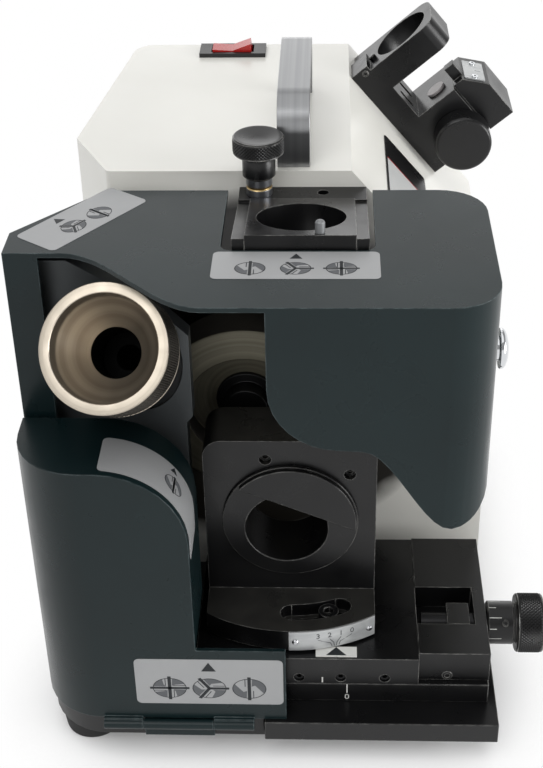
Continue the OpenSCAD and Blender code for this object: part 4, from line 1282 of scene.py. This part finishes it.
@dataclass
class Door:
    """The door that drops open under the left port, on a pinned hinge."""

    right: float = -23.5
    top: float = 148.4
    bend: float = 34.0
    bend_start: float = 88.0
    bend_y: float = 13.2
    front_sticker: Point3 = (-49.0, 0.0, 42.8)

    def build(self) -> None:
        """Dresses the door, its hinge and its stickers."""
        dress("hinged_door", TEAL, 0.75, 3)
        dress("door_catch", ZINC, 0.3)
        dress("hinge_leaf", TEAL, 0.35)
        dress("hinge_pin", DARK_STEEL, 0.2)
        Sticker("door_front_sticker", Body.DOOR,
                plane_frame(at(*self.front_sticker), (1, 0, 0), (0, 0, 1)),
                60.6, 25.0, (4, 3, 2), symbol_r=7.0, symbol_v=-3.6, arrow=3.0).build()
        surface = bent_surface((self.right - self.bend, self.top - self.bend), self.bend,
                               self.bend_start, self.bend_y)
        Sticker("door_bend_sticker", Body.DOOR, Matrix.Identity(4), 62.0, 21.0, (2,),
                surface=surface, symbol_r=5.2, symbol_v=0.3, symbols_at=32.0,
                arrow_at=(31.0, 8.2), arrow=2.0).build()


@dataclass
class LeftPort:
    """The angled port on the left, with the collet chuck standing in it."""

    radius: float = 24.5
    length: float = 20.0
    hole: float = 9.8
    mouth: float = 20.4
    throat: float = 6.0
    neck_r: float = 12.4
    neck_l: float = 14.0
    teeth: int = 84

    def build(self) -> None:
        """Dresses the port and builds the chuck's knob."""
        dress("left_port_bracket", GREY_PLATE, 0.4)
        dress("left_port_sleeve", DARK_STEEL, 0.4)
        dress("chuck_body", CHUCK_DARK, 0.4)
        # The collet is painted near black as shade deep inside the chuck.
        dress("collet", BORE_SHADE, 0.3)
        self._knob()

    def _knob(self) -> None:
        """Builds the turned knob: a bright rim, a brushed funnel and a knurled grip."""
        place = axis_frame(at(*CHUCK_FACE), CHUCK_AXIS)
        rim, length, hole = self.radius, self.length, self.hole
        grip_low, grip_high = 1.8, length - 1.2
        ease, mouth, throat = 0.45, self.mouth, self.throat
        neck, end = self.neck_r, length + self.neck_l
        rounded = [(rim - ease + math.sin(a) * ease, ease - math.cos(a) * ease)
                   for a in (0.0, 0.5, 1.0, math.pi / 2)]
        profile = [(hole, length - 2.0), (mouth - 0.7, throat + 0.6), (mouth - 0.2, throat - 0.6),
                   (mouth, 0.3), (mouth + 0.3, 0.0), *rounded,
                   (rim, grip_low - 0.6), (rim - 0.9, grip_low), (rim - 0.9, grip_high),
                   (rim - 0.3, grip_high + 0.3), (rim - 1.0, length), (neck, length),
                   (neck, end), (hole, end), (hole, length - 2.0)]
        piece = TurnedKnob("chuck_knob", Body.CHUCK_KNOB, place, profile, rim - 0.05, grip_low,
                           grip_high, self.teeth, 7.0, 0.6, CHAMPAGNE, KNURL).build()
        inverse = place.inverted()

        def within(face: bpy.types.MeshPolygon, radius: float) -> bool:
            """Tells whether a turned face lies within a radius about the knob's axis."""
            spot = inverse @ face.center
            return face.material_index == 0 and math.hypot(spot.x, spot.y) / MM < radius

        def in_bore(face: bpy.types.MeshPolygon) -> bool:
            """Tells whether a face is of the bore behind the funnel."""
            return within(face, hole + 0.2) and (inverse @ face.center).z / MM > length - 2.1

        repaint(piece, CONE, lambda face: within(face, mouth + 0.05) and not in_bore(face)
                and (inverse @ face.center).z / MM < length - 1.9)
        # The bore behind the funnel is painted near black as shade.
        repaint(piece, BORE_SHADE, in_bore)


@dataclass
class TopPort:
    """The tilted port in the guard's top, with its index pin and pull plunger."""

    plunger: Point2 = (2.1, 94.6)
    brass_z: Point2 = (220.0, 221.3)
    stem_z: float = 224.5
    head_z: float = 234.5
    head_h: float = 7.0
    foot_z: float = 196.0
    stem_r: float = 6.5
    head_r: float = 10.0

    def build(self) -> None:
        """Dresses the port and builds the plunger's knob."""
        dress("top_port_frame", BLACKENED, 0.5)
        dress("top_port_block", BLACKENED, 0.5)
        dress("top_index_pin", BELL, 0.4)
        collar, (low, high) = dress("plunger_collar", ZINC, 0.15), self.brass_z
        repaint(collar, BRASS, lambda face: low < face.center.z / MM < high)
        head, top = self.head_z, self.head_z + self.head_h
        foot, step, stem, rim = self.foot_z, self.stem_z, self.stem_r, self.head_r
        profile = [(0.0, foot), (3.0, foot), (3.0, step), (stem - 0.8, step), (stem, step + 0.8),
                   (stem, head - 3.2), (stem - 0.3, head - 2.6), (stem - 0.3, head),
                   (rim - 0.5, head), (rim, head + 0.5), (rim - 0.2, head + 0.9),
                   (rim - 0.2, top - 0.9), (rim, top - 0.5), (rim - 0.5, top),
                   (rim - 1.8, top), (3.0, top - 1.4), (0.0, top - 1.4)]
        TurnedKnob("plunger_knob", Body.PLUNGER,
                   Matrix.Translation(at(self.plunger[0], self.plunger[1], 0.0)), profile,
                   rim + 0.2, head + 0.8, top - 0.8, 46, 4.0, 0.42, BLACKENED,
                   KNURLED_BLACK).build()


@dataclass
class FeedTable:
    """The cross slide under the swivel holder, with its feed screw, dial and knob."""

    feed_y: float = 40.0
    feed_z: float = 40.0
    dial_x: float = 97.5
    dial_l: float = 12.2
    dial_r: float = 9.2
    dial_lines: int = 12
    knob_l: float = 11.5
    knob_r: float = 12.5
    bracket_screw: Point3 = (79.5, 14.0, 34.2)
    rail_mark: Point3 = (37.8, 11.0, 0.0)
    slide_mark: Point3 = (27.5, 11.0, 0.0)
    pointer: Point3 = (33.2, 12.0, 46.3)
    mark_rise: float = 0.05

    def build(self) -> None:
        """Dresses the slides, builds the feed knob and cuts its graduations."""
        for node in ("slide_base", "slide_rail", "table_slide", "screw_bracket"):
            dress(node, BLACKENED, 0.45)
        # The feed nut and screw are painted dark as shade, for the dark pocket that they sit in.
        dress("feed_nut", BLACKENED, 0.3)
        dress("feed_screw", DARK_STEEL, 0.2)
        dress("gib_screws", DARK_STEEL, 0.25)
        dress("pointer_plate", ENGRAVED, 0.1)
        dress("swivel_pivot_pin", BRIGHT, 0.3)
        dress("swivel_lock_screw", BLACKENED, 0.3)
        self._knob()
        self._marks()
        SocketScrews("bracket_front_screw", Body.CARRIAGE, [
            (at(*self.bracket_screw), (0, -1, 0))], radius=2.3).build()

    def _knob(self) -> None:
        """Builds the feed dial and its knurled knob."""
        place = axis_frame(at(self.dial_x, self.feed_y, self.feed_z), (1, 0, 0))
        start, end = self.dial_l, self.dial_l + self.knob_l
        dial, rim = self.dial_r, self.knob_r
        profile = [(4.82, 0.0), (dial - 0.5, 0.0), (dial, 0.5), (dial, start - 1.4),
                   (dial - 0.6, start - 1.0), (dial - 0.6, start), (rim - 0.6, start),
                   (rim, start + 0.6), (rim - 0.25, start + 1.0), (rim - 0.25, end - 1.0),
                   (rim, end - 0.6), (rim - 0.6, end), (9.4, end), (8.8, end - 0.5),
                   (0.0, end - 0.5)]
        TurnedKnob("feed_knob", Body.FEED, place, profile, rim + 0.2, start + 0.9, end - 0.9, 56,
                   6.0, 0.45, BLACKENED, KNURLED_BLACK).build()
        lines = TREES.grow(TREES.ticks, {
            "Count": self.dial_lines, "Radius": dial * MM, "First Angle": 0.1,
            "Step Angle": TWO_PI / self.dial_lines,
            "Length": 3.0 * MM, "Width": 0.3 * MM, "Thickness": 0.08 * MM, "Long Every": 2,
            "Finish": ENGRAVED.material()},
            place @ Matrix.Translation((0, 0, 0.7 * MM)))
        seat(link("feed_dial_lines", lines), Body.FEED, "plate_white")
        lean = math.radians(40.0)
        out = Vector((0.0, -math.cos(lean), math.sin(lean)))
        SocketScrews("feed_dial_set_screw", Body.FEED, [
            (at(self.dial_x + 7.4, self.feed_y, self.feed_z) + out * 9.0 * MM, out)],
            radius=1.6).build()

    def _marks(self) -> None:
        """Engraves the zero line on the rail and the tick on the slide."""
        face = plane_frame(at(*self.rail_mark), (1, 0, 0), (0, 0, 1))
        rail = Shape(face).prism(oblong(-0.25, 26.2, 0.25, 31.2), 0.0, self.mark_rise)
        rail.take(number_mesh("0", 3.0, face @ Matrix.Translation((0, 23.9 * MM, 0))))
        new_piece("rail_zero_mark", rail, ENGRAVED, Body.MACHINE, "plate_white")
        tick = Shape(plane_frame(at(*self.slide_mark), (1, 0, 0), (0, 0, 1)))
        tick.prism(oblong(-0.3, 32.2, 0.3, 35.2), 0.0, self.mark_rise)
        new_piece("slide_tick_mark", tick, ENGRAVED, Body.CARRIAGE, "plate_white")
        arrow = Shape(Matrix.Translation(at(*self.pointer)))
        arrow.prism([(-4.2, 0.5), (4.2, 0.5), (0.0, 5.2)], 0.0, 0.06)
        new_piece("pointer_arrow", arrow, INK, Body.CARRIAGE, "black_plastic")


@dataclass
class SwivelHolder:
    """The upright that swings on the slide, with its scale and its eccentric port sleeve."""

    scale_r: float = 63.7
    first_deg: float = 10.5
    step_deg: float = 4.4
    foot_deg: float = 15.8
    foot_step: float = 0.9
    zero_z: float = 52.4
    screw_holes: Sequence[Point2] = ((4.3, 124.8), (38.4, 117.5))
    screw_y: float = 44.2

    def build(self) -> None:
        """Dresses the holder and prints its scale."""
        # The swivel bracket's upward faces are lightened as painted light.
        dress("swivel_bracket", TOP_LIT_BLACK, 0.5)
        dress("eccentric_sleeve", BLACKENED, 0.4)
        dress("half_moon_plate", BLACKENED, 0.35)
        dress("scale_plate", SCALE_SILVER, 0.1)
        dress("scale_rivets", BRIGHT, 0.2)
        SocketScrews("upright_set_screws", Body.SWIVEL, [
            (at(x, self.screw_y, z), (0, -1, 0)) for x, z in self.screw_holes],
            radius=2.35).build()
        self._scale()

    def _spot(self, degrees: float, z_mm: float) -> Matrix:
        """Gives a placement on the scale's face at an angle to the right of the front."""
        turn = math.radians(degrees)
        side = (math.sin(turn), -math.cos(turn))
        origin = at(PIVOT[0] + self.scale_r * side[0], PIVOT[1] + self.scale_r * side[1], z_mm)
        return plane_frame(origin, (math.cos(turn), math.sin(turn), 0), (0, 0, 1))

    def _face(self, along: float, z_mm: float, height: float) -> Vector:
        """Gives a place on the scale's round face from a length along it and a height."""
        turn = along / self.scale_r
        reach = self.scale_r + height
        return Vector((PIVOT[0] + reach * math.sin(turn), PIVOT[1] - reach * math.cos(turn),
                       z_mm)) - MACHINE_CENTRE

    def _scale(self) -> None:
        """Prints the numerals and the bent lines that lead from them to the pointer."""
        print_on = Shape()
        for k, numeral in enumerate("3210"):
            degrees = self.first_deg + k * self.step_deg
            print_on.take(number_mesh(numeral, 2.6, self._spot(degrees, self.zero_z + 1.4)))
            self._leader(print_on, degrees, self.foot_deg + k * self.foot_step)
        new_piece("scale_numerals", print_on, INK, Body.SWIVEL, "black_plastic")

    def _leader(self, shape: Shape, top_deg: float, foot_deg: float) -> None:
        """Prints the bent line between a numeral and its graduation."""
        half = 0.12
        knee = foot_deg + (top_deg - foot_deg) * 0.1
        path = [Vector((math.radians(degrees) * self.scale_r, z_mm)) for degrees, z_mm in (
            (top_deg, self.zero_z - 0.6), (knee, self.zero_z - 3.0),
            (foot_deg, self.zero_z - 4.9))]
        for a, b in zip(path, path[1:]):
            run = (b - a).normalized()
            side = Vector((-run.y, run.x)) * half
            shape.over(self._face, [tuple(a + side), tuple(b + side), tuple(b - side),
                                    tuple(a - side)], -0.01, 0.05)


@dataclass
class SettingGauge:
    """The gauge on the housing's slope, in which a cutter's reach and turn are set."""

    plate_y: float = 216.5
    plate_w: float = 9.6
    plate_l: float = 21.0
    plate_edge: float = 1.2
    dowel_at: Point3 = (4.2, 210.5, 11.2)
    set_screw_at: Point3 = (4.0, 199.9, 6.2)

    def build(self) -> None:
        """Dresses the gauge and its small fittings."""
        dress("gauge_frame", BLACKENED, 0.6, 3)
        dress("gauge_block", BLACKENED, 0.5)
        dress("gauge_knob", BLACKENED, 0.5)
        dress("gauge_anvil", ANVIL, 0.2)
        self._index_plate()
        self._fittings()

    def _index_plate(self) -> None:
        """Lays the small silver plate and its two screws on the block's chamfer."""
        along = GAUGE_U * 10.0 + GAUGE_V * 8.0
        up = GAUGE_V * 10.0 - GAUGE_U * 8.0
        place = plane_frame(self.spot(36.0, self.plate_y, 37.0), along, (0, 1, 0))
        shape = Shape(place @ Matrix.Translation((self.plate_edge * MM, 0, 0)))
        shape.strip(flat, self.plate_w, self.plate_l, 0.6, 0.5)
        new_piece("gauge_index_plate", shape, SCALE_SILVER, Body.GAUGE_SLIDER, "plate_silver")
        middle = self.plate_edge + self.plate_w / 2
        spots = []
        for side in (-1.0, 1.0):
            local = Vector((middle * MM, side * (self.plate_l / 2 - 2.4) * MM, 0.9 * MM))
            spots.append((place @ local, up))
        SocketScrews("gauge_plate_screws", Body.GAUGE_SLIDER, spots, radius=1.5,
                     finish=CHROME).build()
        mark = Shape(place)
        mark.prism(oblong(middle + 0.6, -0.12, middle + 3.4, 0.12), 0.49, 0.54)
        new_piece("gauge_index_line", mark, INK, Body.GAUGE_SLIDER, "black_plastic")

    def _fittings(self) -> None:
        """Builds the ring's locating dowel and the set screw in its foot."""
        dowel = Shape(axis_frame(self.spot(*self.dowel_at), -GAUGE_U))
        dowel.lathe([(0.0, -1.0), (1.7, -1.0), (1.7, 1.7), (1.3, 2.1), (0.0, 2.1)], 24)
        new_piece("gauge_ring_dowel", dowel, BLACKENED, Body.MACHINE, "dark_steel")
        SocketScrews("gauge_ring_set_screw", Body.MACHINE, [
            (self.spot(*self.set_screw_at), (0, -1, 0))], radius=1.6).build()

    def spot(self, u: float, y: float, v: float) -> Vector:
        """Turns the gauge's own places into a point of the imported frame."""
        return at(*(Vector(SLOPE_START) + Vector((0, y, 0)) + GAUGE_U * u + GAUGE_V * v))


@dataclass
class Studio:
    """The pale floor, the soft lamps and the camera."""

    lens_px: float = 1433.46
    image_h: float = 768.0
    sensor: float = 36.0
    pitch: float = math.radians(33.579)
    yaw: float = math.radians(-2.778)
    roll: float = math.radians(-1.341)
    eye: Point3 = (30.0, -419.34, 467.79)
    floor_reach: float = 6000.0
    wall_r: float = 5500.0
    wall_top: float = 2300.0
    shadow_reach: float = 1.5
    world_light: float = 0.36
    lamps: Sequence[tuple[str, Point3, float, float]] = (
        ("top_panel", (-0.15, -0.05, 1.55), 1.7, 7.5),
        ("back_panel", (-0.5, 1.6, 0.85), 2.2, 11.5),
        ("front_panel", (-0.55, -1.2, 1.4), 1.0, 8.0),
        ("right_panel", (1.4, -0.45, 0.4), 0.8, 16.0))

    def build(self) -> None:
        """Sets the floor, the lamps, the world and the camera."""
        bpy.context.scene.view_settings.view_transform = "Standard"
        self._floor()
        self._world()
        for lamp in self.lamps:
            self._lamp(*lamp)
        self._camera()

    def _floor(self) -> None:
        """Lays a large white floor with a far round wall; the floor keeps the close shadow."""
        shape = Shape()
        reach = self.floor_reach
        shape.prism(oblong(-reach, -reach, reach, reach), -5.0, -0.05)
        wall = oblong(self.wall_r, -4.0, self.wall_r + 50.0, self.wall_top)
        shape.lathe([*wall, wall[0]], 128)
        mesh = shape.mesh("floor_form")
        white_floor, graph = blank_material("floor_white")
        matt = graph.add("ShaderNodeBsdfDiffuse", {"Color": (0.95, 0.95, 0.95, 1.0)})
        white = graph.add("ShaderNodeEmission", {"Strength": 1.0})
        path = graph.add("ShaderNodeLightPath")
        seen = graph.math("MAXIMUM", path.outputs["Is Camera Ray"], graph.math(
            "MAXIMUM", path.outputs["Is Glossy Ray"], path.outputs["Is Transmission Ray"]))
        near = graph.add("ShaderNodeAmbientOcclusion", {"Distance": 0.05}, samples=8)
        clear = graph.ramp(near.outputs["AO"], 0.4, 0.85, 0.1)
        spot = graph.add("ShaderNodeTexCoord").outputs["Object"]
        away = graph.add("ShaderNodeVectorMath", {0: spot}, operation="LENGTH").outputs["Value"]
        far = graph.math("GREATER_THAN", away, self.shadow_reach)
        share = graph.product(seen, graph.math("MAXIMUM", clear, far))
        both = graph.add("ShaderNodeMixShader", {
            0: share, 1: matt.outputs[0], 2: white.outputs[0]})
        graph.add("ShaderNodeOutputMaterial", {"Surface": both.outputs[0]})
        mesh.materials.append(white_floor)
        link("studio_floor", mesh)

    def _world(self) -> None:
        """Fills the surroundings with soft white light."""
        world = bpy.data.worlds.new("studio_world")
        bpy.context.scene.world = world
        world.use_nodes = True
        back = world.node_tree.nodes["Background"]
        back.inputs[0].default_value = (1.0, 1.0, 1.0, 1.0)
        back.inputs[1].default_value = self.world_light

    def _lamp(self, name: str, place: Point3, size: float, watts: float) -> None:
        """Hangs a square soft lamp that faces the machine."""
        lamp = bpy.data.lights.new(name, "AREA")
        lamp.shape = "SQUARE"
        lamp.size = size
        lamp.energy = watts
        holder = link(name, lamp)
        way = Vector((0.0, 0.0, 0.11)) - Vector(place)
        holder.location = place
        holder.rotation_euler = way.to_track_quat("-Z", "Y").to_euler()

    def _camera(self) -> None:
        """Stands the camera where the picture was taken from."""
        ahead = Vector((math.sin(self.yaw) * math.cos(self.pitch),
                        math.cos(self.yaw) * math.cos(self.pitch), -math.sin(self.pitch)))
        right = Vector((math.cos(self.yaw), -math.sin(self.yaw), 0.0))
        up = right.cross(ahead)
        x_dir = right * math.cos(self.roll) + up * math.sin(self.roll)
        y_dir = up * math.cos(self.roll) - right * math.sin(self.roll)
        stand = Matrix((x_dir, y_dir, -ahead)).transposed().to_4x4()
        stand.translation = at(*self.eye)
        lens = bpy.data.cameras.new("studio_camera")
        lens.sensor_fit = "VERTICAL"
        lens.sensor_height = self.sensor
        lens.lens = self.lens_px * self.sensor / self.image_h
        lens.clip_start = 0.01
        holder = link("studio_camera", lens)
        holder.matrix_world = stand
        bpy.context.scene.camera = holder


def write_sizes() -> None:
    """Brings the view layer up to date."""
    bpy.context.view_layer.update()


def main() -> None:
    """Builds the sub-assemblies in order, then the studio."""
    logging.basicConfig(level=logging.INFO, format="%(name)s: %(message)s")
    for assembly in (BaseAndHousing(), Motor(), Guard(), Door(), LeftPort(), TopPort(),
                     FeedTable(), SwivelHolder(), SettingGauge(), Studio()):
        LOG.info("building %s", type(assembly).__name__)
        assembly.build()
    write_sizes()


if __name__ == "__main__":
    main()
